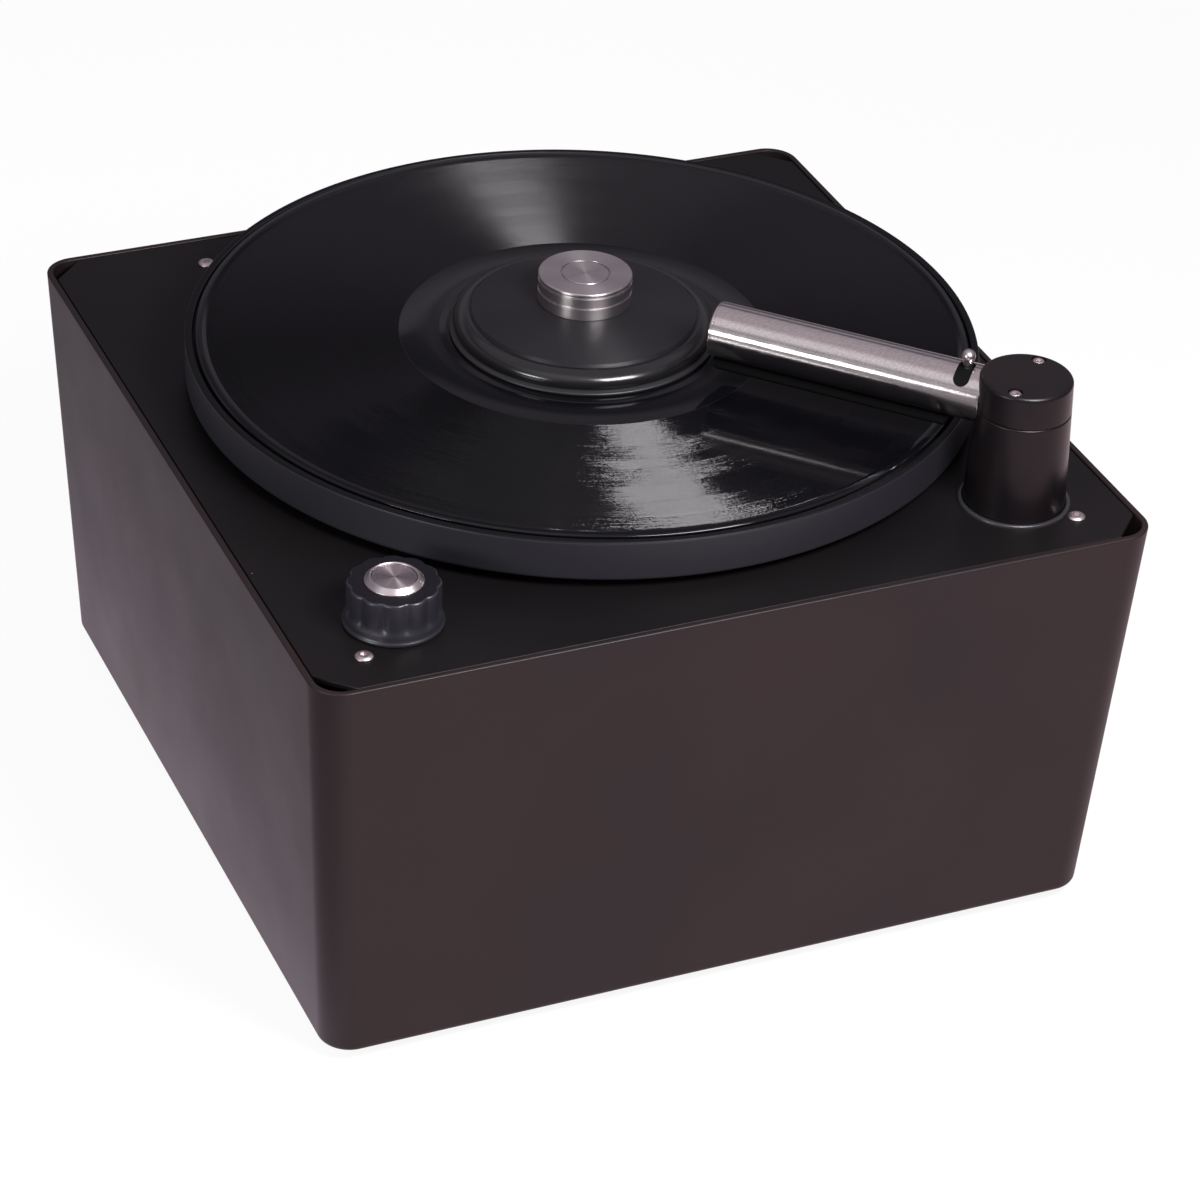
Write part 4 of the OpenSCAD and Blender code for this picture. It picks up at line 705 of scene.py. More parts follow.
def buildScatterTree():
    # one form set on every point of a mesh, each turned by a seeded angle
    tree = bpy.data.node_groups.new("setOnPoints", "GeometryNodeTree")
    sockets = {}
    tree.interface.new_socket("Geometry", in_out="OUTPUT", socket_type="NodeSocketGeometry")
    for label, kind, value in (("Geometry", "NodeSocketGeometry", None), ("Form", "NodeSocketObject", None),
                               ("Turn Range", "NodeSocketFloat", 6.28), ("Seed", "NodeSocketInt", 3),
                               ("Size", "NodeSocketFloat", 1.0), ("Finish", "NodeSocketMaterial", None)):
        socket = tree.interface.new_socket(label, in_out="INPUT", socket_type=kind)
        if value is not None:
            socket.default_value = value
        sockets[label] = socket.identifier
    given = tree.nodes.new("NodeGroupInput").outputs
    form = addNode(tree, "GeometryNodeObjectInfo", {"Object": given["Form"]})
    span = addNode(tree, "ShaderNodeCombineXYZ", {"Z": given["Turn Range"]})
    angle = addNode(tree, "FunctionNodeRandomValue", {"Max": span.outputs[0], "Seed": given["Seed"]},
                    data_type="FLOAT_VECTOR")
    placed = addNode(tree, "GeometryNodeInstanceOnPoints", {
        "Points": given["Geometry"], "Instance": form.outputs["Geometry"], "Scale": given["Size"]})
    tree.links.new(angle.outputs[0], placed.inputs["Rotation"])
    real = addNode(tree, "GeometryNodeRealizeInstances", {0: placed.outputs[0]})
    finished = addNode(tree, "GeometryNodeSetMaterial", {"Geometry": real.outputs[0], "Material": given["Finish"]})
    out = tree.nodes.new("NodeGroupOutput")
    tree.links.new(finished.outputs[0], out.inputs[0])
    return tree, sockets


scatterTree, scatterSockets = buildScatterTree()


def setOnPoints(name, form, spots, finish, body, slotName, *stoodFor, turnRange=6.28, seed=3):
    source = addMesh(name + "Form", form)
    piece = bpy.data.objects.new(name, bpy.data.meshes.new(name))
    scene.collection.objects.link(piece)
    piece.data.from_pydata([Vector(s) * mm for s in spots], [], [])
    modifier = piece.modifiers.new("setOnPoints", "NODES")
    modifier.node_group = scatterTree
    given = {"Form": source, "Turn Range": turnRange, "Seed": seed, "Size": 1.0,
             "Finish": bpy.data.materials[finish]}
    for label, value in given.items():
        modifier[scatterSockets[label]] = value
    bake(piece)
    bpy.data.objects.remove(source)
    return dress(piece, finish, body, slotName, *stoodFor)


def buttonHead(screw):
    # domed head with a hexagon socket, seat at height 0
    radius, high, socket = screw["head"], screw["high"], screw["socket"]
    corners = [(0, -screw["long"]), (screw["shank"], -screw["long"], 0.2), (screw["shank"], 0), (radius, 0, 0.15),
               (radius, high * 0.35, 0.5), (radius * 0.78, high * 0.86, 1.6), (socket * 1.5, high, 0.3), (0, high)]
    head = addMesh("headForm", lathe(corners, 48, closed=False))
    hexagon = [polar(socket, 60 * i) for i in range(6)]
    carve(head, [addMesh("socketForm", prism(hexagon, high - screw["socketDeep"], high + 1))])
    verts = [tuple(v.co / mm) for v in head.data.vertices]
    faces = [tuple(p.vertices) for p in head.data.polygons]
    bpy.data.objects.remove(head)
    return verts, faces


# casing
casing = {
    "halfTop": 167.0, "lean": 8.2, "height": 168.0, "lower": 5.0, "rim": 173.0, "cornerRadius": 12.5,
    "sheet": 2.5, "flange": 14.0, "rimEdge": 0.7, "foldRadius": 2.6, "cornerSteps": 16, "hold": 0.8,
    "inletHole": (27.4, 20, 0.6), "rockerHole": (13.4, 19.8, 0.6), "spoutHole": 6.2,
    "louvres": 9, "louvrePitch": 8.0, "louvreWide": 3.0, "louvreTall": 38.0, "louvreX": -94.97, "louvreZ": 72.0,
    "inletX": 2.0, "rockerX": 42.0, "fittingZ": 46.0, "spoutX": 108.0, "spoutZ": 22.0,
}
leanAngle = math.degrees(math.atan(casing["lean"] / casing["height"]))


def halfSide(z):
    return casing["halfTop"] - casing["lean"] * (casing["rim"] - z) / casing["height"]


def onRear(x, z):
    # frame on the rear wall: +Y points out of it
    return at(x, halfSide(z), z) @ turn(-leanAngle, "X")


spoutPlace = at(casing["spoutX"], halfSide(casing["spoutZ"]), casing["spoutZ"])


def casingRing(inset, z):
    half, steps, hold = halfSide(z) - inset, casing["cornerSteps"], casing["hold"]
    radius = casing["cornerRadius"] - min(inset, casing["sheet"])
    points = []
    for quarter, (sx, sy) in enumerate(((1, 1), (-1, 1), (-1, -1), (1, -1))):
        for i in range(-1, steps + 2):
            a = math.radians(90 * (quarter + min(max(i, 0), steps) / steps))
            x = sx * (half - radius) + radius * math.cos(a)
            y = sy * (half - radius) + radius * math.sin(a)
            past = hold if i > steps else -hold if i < 0 else 0
            points.append((x - math.sin(a) * past, y + math.cos(a) * past, z))
    return points


def slab(name, outline, low, high, place, x=0, z=0):
    # outline on the rear wall, pushed out of it from low to high
    verts, faces = prism([(px + x, pz + z) for px, pz in outline], low, high)
    return addMesh(name, ([place @ Vector((vx, h, vz)) for vx, vz, h in verts], faces))


def buildCasing():
    c = casing
    sheet, lower, rim = c["sheet"], c["lower"], c["rim"]
    deep = c["flange"] + sheet
    section = softened([
        (deep, lower, 0.5), (0, lower, c["foldRadius"], 6), (0, rim, c["rimEdge"], 5), (sheet, rim, 0.5),
        (sheet, lower + sheet, 0.4), (deep, lower + sheet, 0.5),
    ], hold=c["hold"])
    shell = addMesh("casingShell", swept([casingRing(inset, z) for inset, z in section]))
    slot = roundedBox(c["louvreWide"], c["louvreTall"], c["louvreWide"] / 2 - 0.01, 8)
    middle = (c["louvres"] - 1) / 2
    openings = [(slot, onRear(c["louvreX"] + (i - middle) * c["louvrePitch"], c["louvreZ"]))
                for i in range(c["louvres"])]
    openings += [(roundedBox(*c["inletHole"]), onRear(c["inletX"], c["fittingZ"])),
                 (roundedBox(*c["rockerHole"]), onRear(c["rockerX"], c["fittingZ"])),
                 ([polar(c["spoutHole"], a) for a in range(0, 360, 9)], spoutPlace)]
    carve(shell, [slab("cut", outline, -8, 8, place) for outline, place in openings])
    dress(shell, "casingPaint", "root", "casing_paint", "housing", angle=40)
    evenLight(shell)


buildCasing()

topPlate = {"half": 163.98, "low": 170.1, "high": 172.6, "cut": 12.5, "edge": 0.35,
            "turretHole": 20.4, "collarHole": 16.2, "bushHole": 5.0,
            "stud": 2.0, "studLow": 162.1, "studCircle": 27.0, "studTurn": 141.21, "studPitch": 80}


def buildTopPlate():
    t = topPlate
    h, c = t["half"], t["cut"]
    outline = [(-h + c, -h), (h - c, -h), (h, -h + c), (h, h - c),
               (h - c, h), (-h + c, h), (-h, h - c), (-h, -h + c)]
    plate = addMesh("topPlate", prism(outline, t["low"], t["high"]))
    holes = [(turretAxis, t["turretHole"]), (platterAxis, t["collarHole"]), (knobAxis, t["bushHole"])]
    carve(plate, [addMesh("cut", drum(radius, 160, 180, 96), at(*axis)) for axis, radius in holes])
    form = drum(t["stud"], t["studLow"], t["low"] + 0.1, 24)
    around = [polar(t["studCircle"], t["studTurn"] + t["studPitch"] * k) for k in (-1, 0, 1)]
    join(plate, *[addMesh("stud", form, at(turretAxis[0] + x, turretAxis[1] + y)) for x, y in around])
    dress(plate, "platePaint", "root", "plate_paint", "top_plate", angle=25)
    roundEdges(plate, t["edge"], 3, 60)
    evenLight(plate)


buildTopPlate()

topScrews = {"head": 3.4, "high": 1.25, "socket": 1.35, "socketDeep": 0.75, "shank": 2.0, "long": 8.0,
             "places": [(142.6, -146, 172.6), (-142.6, -146, 172.6), (103, 145, 172.6), (-103, 145, 172.6)]}
setOnPoints("plateScrews", buttonHead(topScrews), topScrews["places"], "screwSteel", "root", "bright_steel",
            "top_plate_screws", seed=7)

foot = {"radius": 15.0, "high": 7.5, "recess": 5.5, "recessDeep": 4.0, "bore": 2.2, "inset": 37, "taper": 2.2}


def buildFeet():
    f = foot
    corners = [(f["recess"], 0, 0.5), (f["radius"] - f["taper"], 0, 1.6), (f["radius"], 3.0, 1.5),
               (f["radius"], f["high"], 0.3), (f["bore"], f["high"]), (f["bore"], f["recessDeep"], 0.2),
               (f["recess"], f["recessDeep"], 0.3)]
    p = halfSide(casing["lower"]) - f["inset"]
    spots = [(sx * p, sy * p, 0) for sx in (-1, 1) for sy in (-1, 1)]
    setOnPoints("rubberFeet", lathe(corners, 72), spots, "footRubber", "root", "black_rubber", "rubber_feet",
                turnRange=0.0)


buildFeet()
print("casing, top plate, screws and feet made")

# platter and record
platter = {"radius": 154.8, "low": 176.6, "high": 193.0, "recess": 189.7, "rimWide": 2.8, "web": 184.6,
           "bore": 8.05, "hub": 30, "skirt": 14}


def buildPlatter():
    p = platter
    rim, inner = p["radius"], p["radius"] - p["rimWide"]
    corners = [
        (p["bore"], p["low"]), (p["hub"], p["low"], 0.6), (p["hub"] + 4, p["web"], 2),
        (rim - p["skirt"] - 4, p["web"], 2), (rim - p["skirt"], p["low"], 0.6), (rim, p["low"], 1.2, 5),
        (rim, p["high"], 1.1, 6), (inner, p["high"], 0.5), (inner, p["recess"], 0.3), (p["bore"], p["recess"]),
    ]
    piece = addMesh("platterDisc", lathe(corners, 256, 0.6), at(*platterAxis))
    # upward faces take the darker copy of the platter paint: painted shade on the platter's top
    splitFinish(piece, "platterPaint", "platterTop", lambda face: face.normal.z > 0.6)
    dress(piece, None, "platter", "platter_black", "platter", angle=35)


record = {"top": 193.5, "under": 191.7, "edge": 150.8, "bore": 3.65, "sunk": 0.5, "leadIn": 148.0,
          "runOut": 60, "label": 56.0, "middle": 53.5}


def buildRecord():
    v, r = vinylSizes, record
    top, under, edge = r["top"], r["under"], r["edge"]
    low = top - r["sunk"]  # the grooves lie below the rim and the label
    outline = [(r["bore"], under), (edge - 0.6, under)]
    outline += softened([(edge - 0.6, under), (edge, under + 0.5, 0.4), (edge, top - 0.55, 0.5),
                         (edge - 0.7, top, 0.5), (r["leadIn"], top - 0.02, 0.8),
                         (v["lastGroove"], low + 0.04, 0.8)], closed=False)[1:]
    wide, floor = v["dipWidth"], low - v["dip"]
    for start in reversed(v["edges"]):
        outline += [(start + wide, low), (start + wide * 0.7, floor), (start + wide * 0.3, floor), (start, low)]
    outline += softened([(r["runOut"], low), (r["label"], low, 1.5), (r["middle"], top, 1.2), (40, top)],
                        closed=False)
    outline.append((r["bore"], top))
    piece = addMesh("recordDisc", turned(outline, 256), at(*platterAxis))
    first, last = v["edges"][0] + 0.3, v["lastGroove"]
    splitFinish(piece, "vinylGroove", "vinylSmooth",
                lambda face: face.normal.z < 0.5 or not first <= fromAxis(face, platterAxis) <= last)
    dress(piece, None, "platter", "vinyl", "record", angle=40)


buildPlatter()
buildRecord()

clamp = {
    "seat": 193.5, "inside": 38.5, "lip": 52.5, "lipHigh": 2.6,
    "disc": 47.8, "edge": 8.0, "dome": 13.9, "domeSteps": 14, "bore": 8.05, "hollow": 32.5, "hollowHigh": 5,
    "bead": 45.4, "beadWide": 5.6, "beadHigh": 4.5, "beadRise": 1.3, "groove": 44.6,
    "grip": 18.3, "gripHigh": 11.5, "gripGrooves": (5.3, 9.7), "grooveDeep": 0.7, "cup": 9.7, "stem": 8,
    "stemBore": 3.7,
}


def buildClampLip(seat):
    c = clamp
    lip = [(c["inside"], 0), (c["lip"] - 0.5, 0, 0.8), (c["lip"], 1.2, 0.9, 6),
           (c["disc"] + 1.6, c["lipHigh"], 0.7, 5), (c["inside"], c["lipHigh"])]
    dress(addMesh("clampLip", lathe(lip, 192), seat), "lipRubber", "clamp", "black_rubber", "clamp_pad", angle=40)


def buildClampDisc(seat):
    # from inside below: hollow, round bead at the edge, thin groove, dome
    c = clamp
    base, edge, groove = c["lipHigh"], c["edge"], c["groove"]
    rise, run = c["dome"] - edge, c["disc"] - c["grip"]
    radius = (run ** 2 + rise ** 2) / rise / 2
    spread = 2 * math.atan(rise / run)
    outline = softened([(c["bore"], c["hollowHigh"]), (c["hollow"], c["hollowHigh"], 0.5),
                        (c["hollow"] + 3, base, 0.5), (c["disc"] + 1.2, base, 0.2)], closed=False)[:-1]
    for a in range(-16, 91, 6):
        x, z = polar(1, a)
        outline.append((c["bead"] + c["beadWide"] * x, base + c["beadRise"] + c["beadHigh"] * z))
    outline += softened([outline[-1], (groove + 0.35, base + 5.75, 0.15), (groove + 0.2, edge + 0.2, 0.1),
                         (groove - 0.2, edge + 0.2, 0.1), (groove - 0.4, edge + 0.7, 0.2),
                         (groove - 0.7, edge + 0.95)], closed=False)[1:-1]
    for i in range(1, c["domeSteps"] + 1):
        angle = spread * (1 - i / c["domeSteps"])
        x = c["grip"] + radius * math.sin(angle)
        if x < groove - 0.8:
            outline.append((x, c["dome"] - radius * (1 - math.cos(angle))))
    outline.append((c["bore"], c["dome"]))
    piece = addMesh("clampDisc", turned(outline, 192), seat)
    splitFinish(piece, "clampPlastic", "clampGloss", lambda face: fromAxis(face, platterAxis) > groove)
    dress(piece, None, "clamp", "black_plastic", "clamp_disc", angle=45)


def buildClampGrip(seat):
    c = clamp
    grip, top, cup, stem = c["grip"], c["gripHigh"], c["cup"], c["hollowHigh"] - c["dome"]
    inner, floor = grip - c["grooveDeep"], top - c["grooveDeep"]
    knob = [(c["stemBore"], stem), (c["stem"], stem, 0.3), (c["stem"], 0), (grip, 0, 0.35)]
    for groove in c["gripGrooves"]:
        knob += [(grip, groove - 0.5, 0.06, 2), (inner, groove - 0.4, 0.1, 2), (inner, groove + 0.4, 0.1, 2),
                 (grip, groove + 0.5, 0.06, 2)]
    knob += [(grip, top, 0.6, 5), (cup, top, 0.1, 2), (cup, floor), (cup - 0.5, floor),
             (cup - 0.5, top - 0.05, 0.4, 5), (0, top - 0.15), (0, 4.1), (c["stemBore"], 3.1)]
    piece = addMesh("clampGrip", lathe(knob, 160, 0.25, closed=False), seat @ at(0, 0, c["dome"]))
    dress(piece, "clampSteel", "clamp", "bright_steel", "clamp_knob", angle=38)


clampSeat = at(platterAxis[0], platterAxis[1], clamp["seat"])
buildClampLip(clampSeat)
buildClampDisc(clampSeat)
buildClampGrip(clampSeat)
print("platter, record and clamp made")

# suction arm
arm = {
    "plate": 172.6, "footRadius": 19.5, "topRadius": 17.5, "high": 54.0, "seam": 213.2, "capEdge": 1.7,
    "sunk": 146.6, "tail": 97.0, "tailRadius": 8.6, "tailBore": 7, "boreTop": 202.4,
    "socketRadius": 11.15, "socketStart": 14.4, "stub": 9.55, "bolt": 13.6, "boltSeat": 10.8, "boltHole": 2.85,
    "tubeRadius": 10.8, "tubeWall": 1.2, "tubeStart": 14.7, "reach": 123.5, "endPlate": 1.2, "endPlug": 4.8,
    "pinAt": 23.2, "slotWide": 6.2, "twist": 40.0, "padStart": 27.0, "padOut": 4.2, "slit": (38, 115.5),
}
capScrew = {"head": 2.6, "high": 1.15, "socket": 1.15, "socketDeep": 0.7, "shank": 1.5, "long": 20}
trimRing = {"inner": 19.65, "hole": 20.4, "outer": 21.5, "low": 170.1, "seat": 172.62, "top": 173.9}
pin = {"low": 8.05, "shank": 1.2, "stem": 1.5, "shoulder": 9.6, "bulb": 2.65, "bulbRise": 3.7,
       "sunk": 0.6, "neck": 4.0, "neckSteps": 8, "flare": 0.7}
pads = {"middle": 20, "spread": 13, "rings": 90, "sides": 28, "roundEnd": 2.0}  # middle, spread in degrees
turretSpot = at(*turretAxis)
alongTube = at(*tubeAxis) @ turn(tubeDirection, "Z")


def turretRadius(z):
    a = arm
    return a["footRadius"] - (a["footRadius"] - a["topRadius"]) * (z - a["plate"]) / a["high"]


def headCutters():
    a = arm
    return [addMesh("cut", lying(drum(a["stub"], -11.5, 40)), alongTube),
            addMesh("cut", lying(drum(a["socketRadius"], a["socketStart"], 40, 96)), alongTube)]


def buildTurret():
    a, t = arm, trimRing
    seam, top, tail = a["seam"], a["plate"] + a["high"], a["tailRadius"]
    post = [(0, a["boreTop"]), (a["tailBore"], a["boreTop"]), (a["tailBore"], a["tail"]), (tail, a["tail"]),
            (tail, a["sunk"]), (a["footRadius"], a["sunk"], 0.5), (a["footRadius"], a["plate"]),
            (turretRadius(seam), seam, 0.7, 5), (0, seam)]
    cap = [(0, seam), (turretRadius(seam), seam, 0.6, 5), (a["topRadius"], top, a["capEdge"], 8), (0, top)]
    sides = [s * a["bolt"] for s in (-1, 1)]
    for name, corners, node, bolts in (("turretPost", post, "turret_post", []),
                                       ("turretCap", cap, "turret_cap", sides)):
        piece = addMesh(name, lathe(corners, 160, 0.5, closed=False), turretSpot)
        hole = drum(a["boltHole"], a["boltSeat"], 20, 40)
        carve(piece, headCutters() + [addMesh("cut", hole, alongTube @ at(0, y)) for y in bolts])
        dress(piece, "turretPaint", "arm", "turret_black", node, angle=28)
        evenLight(piece)
    spots = [alongTube @ Vector((0, y, a["boltSeat"])) for y in sides]
    setOnPoints("capScrews", buttonHead(capScrew), spots, "screwSteel", "arm", "bright_steel", "cap_screws",
                seed=5)

    ring = [(t["inner"], t["low"]), (t["hole"], t["low"]), (t["hole"], t["seat"]), (t["outer"], t["seat"], 0.1),
            (t["outer"] - 0.1, t["top"], 0.9, 5), (t["inner"], t["top"], 0.5, 4)]
    dress(addMesh("trimRing", lathe(ring, 160, 0.1), turretSpot), "ringSteel", "root", "bright_steel", "trim_ring")


def tubeSector(inner, outer, start, end, low, high, steps=24):
    # solid sector about the tube: degrees from its top towards the front
    corners = ((start, inner), (end, inner), (end, outer), (start, outer))
    rings = []
    for i in range(steps + 1):
        c, s = polar(1, low + (high - low) * i / steps)
        rings.append([(x, s * r, c * r) for x, r in corners])
    return swept(rings, capped=True)


def buildTube():
    a = arm
    r, inner, end = a["tubeRadius"], a["tubeRadius"] - a["tubeWall"], a["reach"] - a["endPlate"]
    section = [(inner, a["tubeStart"]), (r, a["tubeStart"], 0.3, 3), (r, end, 0.15, 2), (inner, end)]
    tube = addMesh("suctionTube", lying(lathe(section, 144, 1.0)), alongTube)
    half = a["slotWide"] / 2
    cutters = [addMesh("cut", tubeSector(8, 13, a["pinAt"] - half, a["pinAt"] + half, 0, a["twist"]), alongTube)]
    for angle in (0, a["twist"]):
        cutters.append(addMesh("cut", drum(half, 7, 14, 48), alongTube @ turn(-angle, "X") @ at(a["pinAt"], 0)))
    slit = []
    for x, first in zip(a["slit"], (90, -90)):  # round ends, one facing back and one forward
        ends = [polar(1, first + 20 * i) for i in range(10)]
        slit += [(x + px, py) for px, py in ends]
    cutters.append(addMesh("cut", prism(slit, -13, -7), alongTube))
    carve(tube, cutters)
    dress(tube, "tubeSteel", "arm_tube", "bright_steel", "suction_tube", angle=32)
    evenLight(tube)
    plug = end - a["endPlug"]
    cap = [(0, plug)] + softened([(inner, plug), (inner, end), (r - 0.15, end, 0.1),
                                  (r - 0.15, a["reach"], 0.5, 4), (0, a["reach"])], closed=False)
    dress(addMesh("tubeEnd", lying(turned(cap, 96, closed=False)), alongTube), "tubeSteel", "arm_tube",
          "bright_steel", "tube_end_cap", angle=35)


def buildPin():
    p = pin
    foot, bulb = arm["tubeRadius"] - p["sunk"], arm["tubeRadius"] + p["bulbRise"]
    outline = [(0, p["low"]), (p["shank"], p["low"]), (p["shank"], p["shoulder"]), (p["stem"], p["shoulder"]),
               (p["stem"], foot)]
    for k in range(1, p["neckSteps"] + 1):
        up = k / p["neckSteps"]
        outline.append((p["stem"] + 0.3 * min(k, 2) / 2 + p["flare"] * up ** 1.5, foot + p["neck"] * up))
    for a in range(-6, 91, 8):
        x, z = polar(p["bulb"], a)
        outline.append((x, bulb + z))
    outline.append((0, bulb + p["bulb"]))
    piece = addMesh("stopPin", turned(outline, 64, closed=False), alongTube @ at(arm["pinAt"], 0))
    dress(piece, "pinSteel", "arm", "bright_steel", "arm_pin", angle=40)


def buildPads():
    # soft pile strips: crowned outer face, rounded long edges and ends
    a, p = arm, pads
    start, end, inner = a["padStart"], a["reach"] - 1.5, a["tubeRadius"] + 0.02
    thick = a["tubeRadius"] + a["padOut"] - inner
    strips = []
    for side in (-1, 1):
        rings = []
        for k in range(p["rings"] + 1):
            t = start + (end - start) * k / p["rings"]
            fromEnd = min(t - start, end - t) / p["roundEnd"]
            swell = math.sqrt(max(0.0, 1 - (1 - min(fromEnd, 1)) ** 2))
            ring = []
            for i in range(p["sides"]):
                c, s = polar(1, 360 * i / p["sides"])
                x = math.copysign(abs(c) ** 0.55, c)
                y = math.copysign(abs(s) ** 0.6, s)
                angle = 180 + side * p["middle"] + p["spread"] * 0.99 * x * (0.9 + 0.1 * swell)
                px, py = polar(inner + thick * (y + 1) / 2 * (0.35 + 0.65 * swell), angle)
                ring.append((t, py, px))
            rings.append(ring)
        strips.append(addMesh("padStrips" if not strips else "padStrip", swept(rings, capped=True), alongTube))
    join(*strips)
    dress(strips[0], "padPile", "arm_tube", "felt", "pad_strips", angle=50)


buildTurret()
buildTube()
buildPin()
buildPads()
print("suction arm made")

# control knob
knob = {
    "base": 172.6, "high": 17.0, "outer": 17.2, "lobe": 6.0, "lobes": 12, "turn": 10.6, "stepsPerLobe": 20,
    "topRoll": 1.1, "cuspWide": 4.0, "cuspFill": 0.22,
    # height, radius, share of the lobes: round skirt below, fluted above
    "levels": [(0.3, 18.2, 0), (0.5, 18.5, 0), (0.9, 18.6, 0), (1.3, 18.55, 0), (1.6, 18.35, 0), (1.9, 18.1, 0),
               (2.4, 17.948, 0), (3.2, 17.844, 0), (3.8, 17.766, 0), (4.3, 17.68, 0.08), (4.8, 17.6, 0.25),
               (5.4, 17.5, 0.5), (6.1, 17.4, 0.8), (6.9, 17.3, 1), (8.6, 17.2, 1), (10, 17.2, 1), (12, 17.2, 1),
               (14, 17.2, 1), (15, 17.2, 1), (15.6, 17.2, 1)],
    # radius, height: flat top, well for the button, bore, hollow underside
    "inside": [(15.2, 17.0), (13.0, 17.0), (10.15, 17.0), (10.15, 9.0), (3.02, 9.0), (3.02, 3.6), (10.5, 3.6),
               (10.5, 0.3)],
    "bezel": 10.9, "bezelRise": 2.2, "bezelDeep": 8, "button": 8.2, "buttonHigh": 5.7, "buttonSunk": 0.5,
    "stem": 1.4, "stemLow": -20.3,
}


def lobeRadius(angle):
    k = knob
    pitch = 360 / k["lobes"]
    off = (angle - k["turn"] + pitch / 2) % pitch - pitch / 2
    reach = k["outer"] - k["lobe"]

    def onLobe(degrees):
        x, y = polar(reach, degrees)
        return x + math.sqrt(k["lobe"] ** 2 - y ** 2)

    raw, valley = onLobe(off), onLobe(pitch / 2)
    near = max(0.0, 1 - (pitch / 2 - abs(off)) / k["cuspWide"])  # soften the cusp between lobes
    return raw + (valley + k["cuspFill"] - raw) * near ** 2


def buildKnob():
    k = knob
    steps = k["lobes"] * k["stepsPerLobe"]
    angles = [360 * i / steps for i in range(steps)]
    lobes = [lobeRadius(a) for a in angles]
    rings = []
    for z, plain, share in k["levels"]:
        rings.append([polar(plain + (min(plain, lobe) - plain) * share, a, z) for a, lobe in zip(angles, lobes)])
    for i in range(1, 9):  # rolled top edge, following the lobes
        shrink, rise = polar(k["topRoll"], 90 * i / 8)
        shrink, z = k["topRoll"] - shrink, k["high"] - k["topRoll"] + rise
        rings.append([polar(min(k["outer"], lobe) - shrink, a, z) for a, lobe in zip(angles, lobes)])
    for r, z in k["inside"]:
        rings.append([polar(r, a, z) for a in angles])
    spot = at(knobAxis[0], knobAxis[1], k["base"])
    piece = addMesh("controlKnob", swept(rings), spot)
    # upward faces take the darker copy of the knob plastic: painted shade on the knob's top
    splitFinish(piece, "knobPlastic", "knobTop", lambda face: face.normal.z > 0.9)
    dress(piece, None, "knob", "black_plastic", "control_knob", angle=40)

    seat, b = k["high"], k["button"]
    top = seat + k["bezelRise"]
    bezel = [(b + 0.15, seat - k["bezelDeep"]), (b + 1.9, seat - k["bezelDeep"]), (b + 1.9, seat),
             (k["bezel"], seat, 0.15, 2), (k["bezel"] - 0.05, seat + 0.45, 0.2, 3), (b + 0.85, top - 0.08, 0.2, 3),
             (b + 0.5, top, 0.15, 3), (b + 0.15, top - 0.35, 0.1, 2)]
    dress(addMesh("buttonBezel", lathe(bezel, 128, 0.2), spot), "bezelSteel", "knob", "bright_steel",
          "button_bezel", angle=35)
    face = top - k["buttonSunk"]
    under = face - k["buttonHigh"]
    button = [(0, under), (b, under), (b, face, 0.45, 5), (0, face)]
    cap = addMesh("powerButton", lathe(button, 128, 0.3, closed=False), spot)
    join(cap, addMesh("stem", drum(k["stem"], k["stemLow"], under + 0.1, 32), spot))
    dress(cap, "buttonSteel", "button", "bright_steel", "power_button", angle=35)


buildKnob()
print("control knob made")

# rear fittings
rear = {
    "flange": 1.8,
    "inlet": (48, 24, 4, 8), "inletBody": (27, 19.6, 1), "inletDepth": 24, "pocketDepth": 14.2,
    "pocket": [(-11.5, -8, 0.8), (11.5, -8, 0.8), (11.5, 4, 0.8), (7.5, 8, 0.8), (-7.5, 8, 0.8), (-11.5, 4, 0.8)],
    "blade": (2, 4, 0.5, 3), "blades": [(-7, -2), (0, 2), (7, -2)], "tag": (6.2, 0.8, 0.2, 2), "tagLong": 9,
    "inletTags": (-9, 0, 9), "frameTags": (-5, 5),
    "frame": (15, 21, 1.2, 6), "frameBody": (13, 19.4, 0.6), "frameHole": (10.8, 17.4, 0.4), "frameDepth": 20,
    "rockerWide": 10.2, "rockerTilt": -8, "rockerCurve": (9.5, 8),
    "rockerOut": [(-1, -8), (2.9, -8)], "rockerIn": [(2.9, 8), (-1, 8), (-3.8, 2.5), (-3.8, -2.5)],
    "plug": [(0, -10), (3.95, -10, 0.5), (3.95, 0.05), (5.6, 0.05, 0.3), (5.6, 1.95, 0.6, 4), (0, 1.95)],
    "plugOut": 4.6,
}


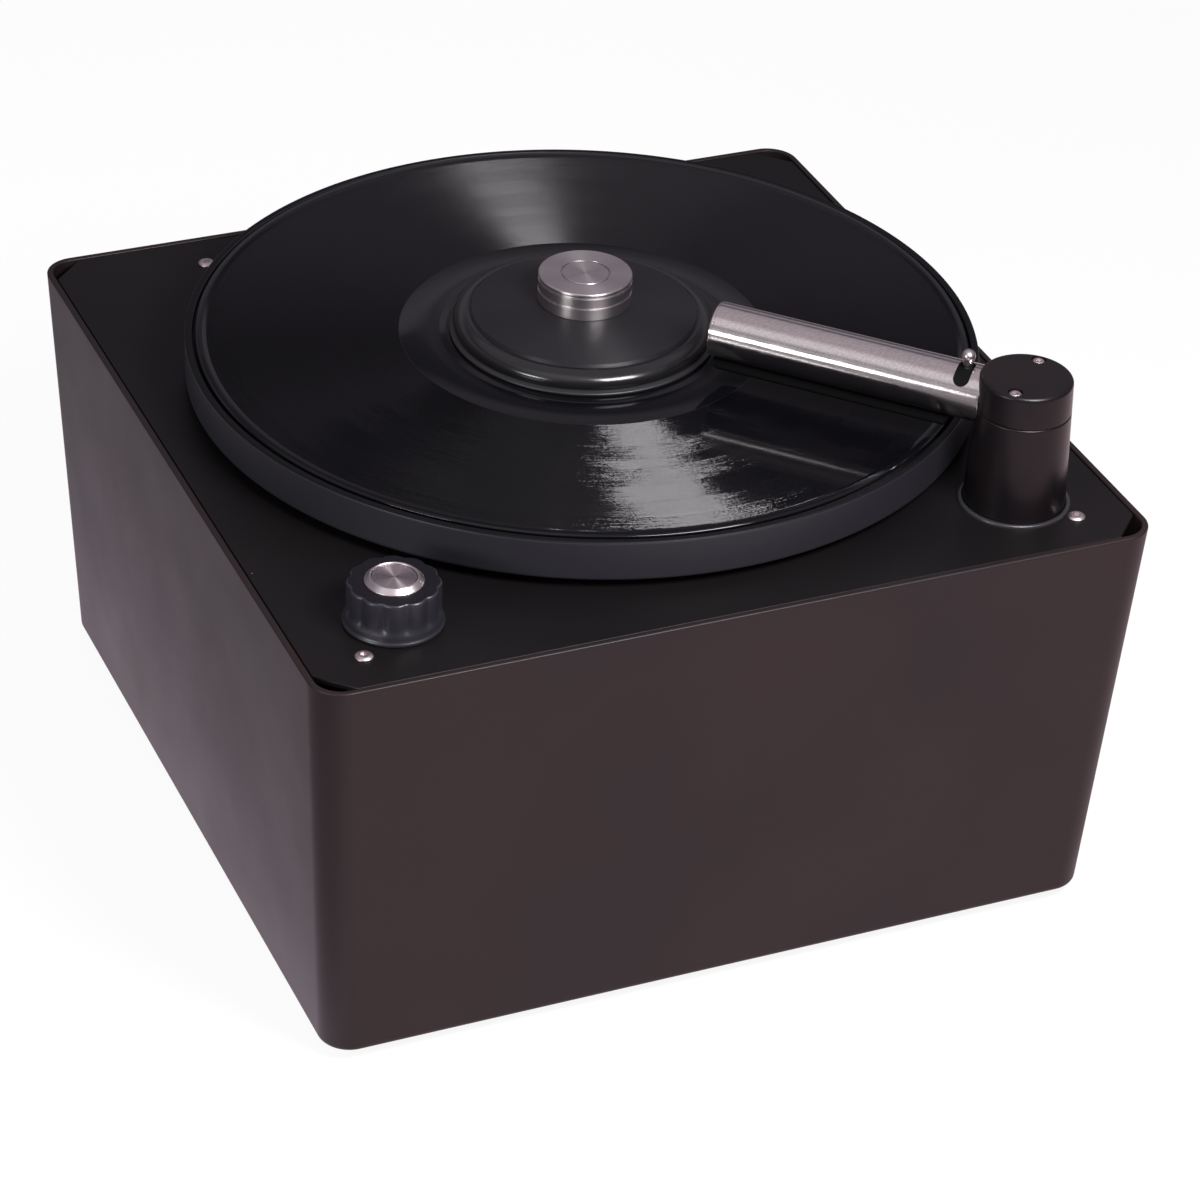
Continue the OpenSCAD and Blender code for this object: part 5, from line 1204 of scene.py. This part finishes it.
def buildInlet(place):
    r = rear
    plate = slab("mainsInlet", roundedBox(*r["inlet"]), 0, r["flange"], place)
    carve(plate, [slab("body", roundedBox(*r["inletBody"]), -r["inletDepth"], 0.5, place)], "UNION")
    carve(plate, [slab("cut", softened(r["pocket"]), -r["pocketDepth"], 4, place)])
    blades = [slab("blade", roundedBox(*r["blade"]), -15, -0.7, place, x, z) for x, z in r["blades"]]
    back = 1 - r["inletDepth"]
    blades += [slab("tag", roundedBox(*r["tag"]), back - r["tagLong"], back, place, x) for x in r["inletTags"]]
    first = len(plate.data.polygons)
    join(plate, *blades)
    splitFinish(plate, "fittingPlastic", "screwSteel", lambda face: face.index >= first)
    dress(plate, None, "root", "black_plastic", "mains_inlet", angle=35)
    roundEdges(plate, 0.35, 2, 50)


def buildRocker(place):
    r = rear
    rim = slab("rockerFrame", roundedBox(*r["frame"]), 0, r["flange"], place)
    carve(rim, [slab("body", roundedBox(*r["frameBody"]), -r["frameDepth"], 0.5, place)], "UNION")
    carve(rim, [slab("cut", roundedBox(*r["frameHole"]), -5.2, 4, place)])
    back = 1 - r["frameDepth"]
    tag = roundedBox(*r["tag"])
    join(rim, *[slab("tag", tag, back - r["tagLong"], back, place, z=z) for z in r["frameTags"]])
    dress(rim, "fittingPlastic", "root", "black_plastic", "rocker_frame", angle=35)
    roundEdges(rim, 0.3, 2, 50)

    centre, radius = r["rockerCurve"]
    hollow = [polar(radius, t) for t in range(200, 159, -4)]
    side = r["rockerOut"] + [(centre + y, z) for y, z in hollow] + r["rockerIn"]
    half = r["rockerWide"] / 2
    ends = [[(x, y, z) for y, z in side] for x in (-half, half)]
    rocker = addMesh("powerRocker", swept(ends, capped=True), place @ turn(r["rockerTilt"], "X"))
    dress(rocker, "fittingPlastic", "rocker", "black_plastic", "power_rocker", angle=25)
    roundEdges(rocker, 0.3, 2, 40)


def buildPlug():
    place = spoutPlace @ at(0, rear["plugOut"]) @ turn(-90, "X")
    plug = addMesh("drainPlug", lathe(rear["plug"], 64, closed=False), place)
    dress(plug, "footRubber", "drain_plug", "black_rubber", "drain_plug", angle=35)


buildInlet(onRear(casing["inletX"], casing["fittingZ"]))
buildRocker(onRear(casing["rockerX"], casing["fittingZ"]))
buildPlug()

# the stub takes the near-black finish: painted shade inside the tube's slot
nodeFinish = {"tube_stub": "stubBlack"}
for row in frame["record"]["subparts"]:
    for held in nodes[row["node"]].material_slots:
        held.material = bpy.data.materials[nodeFinish.get(row["node"], slotFinish[row["material_slot"]])]
print("rear fittings made, inner nodes finished")
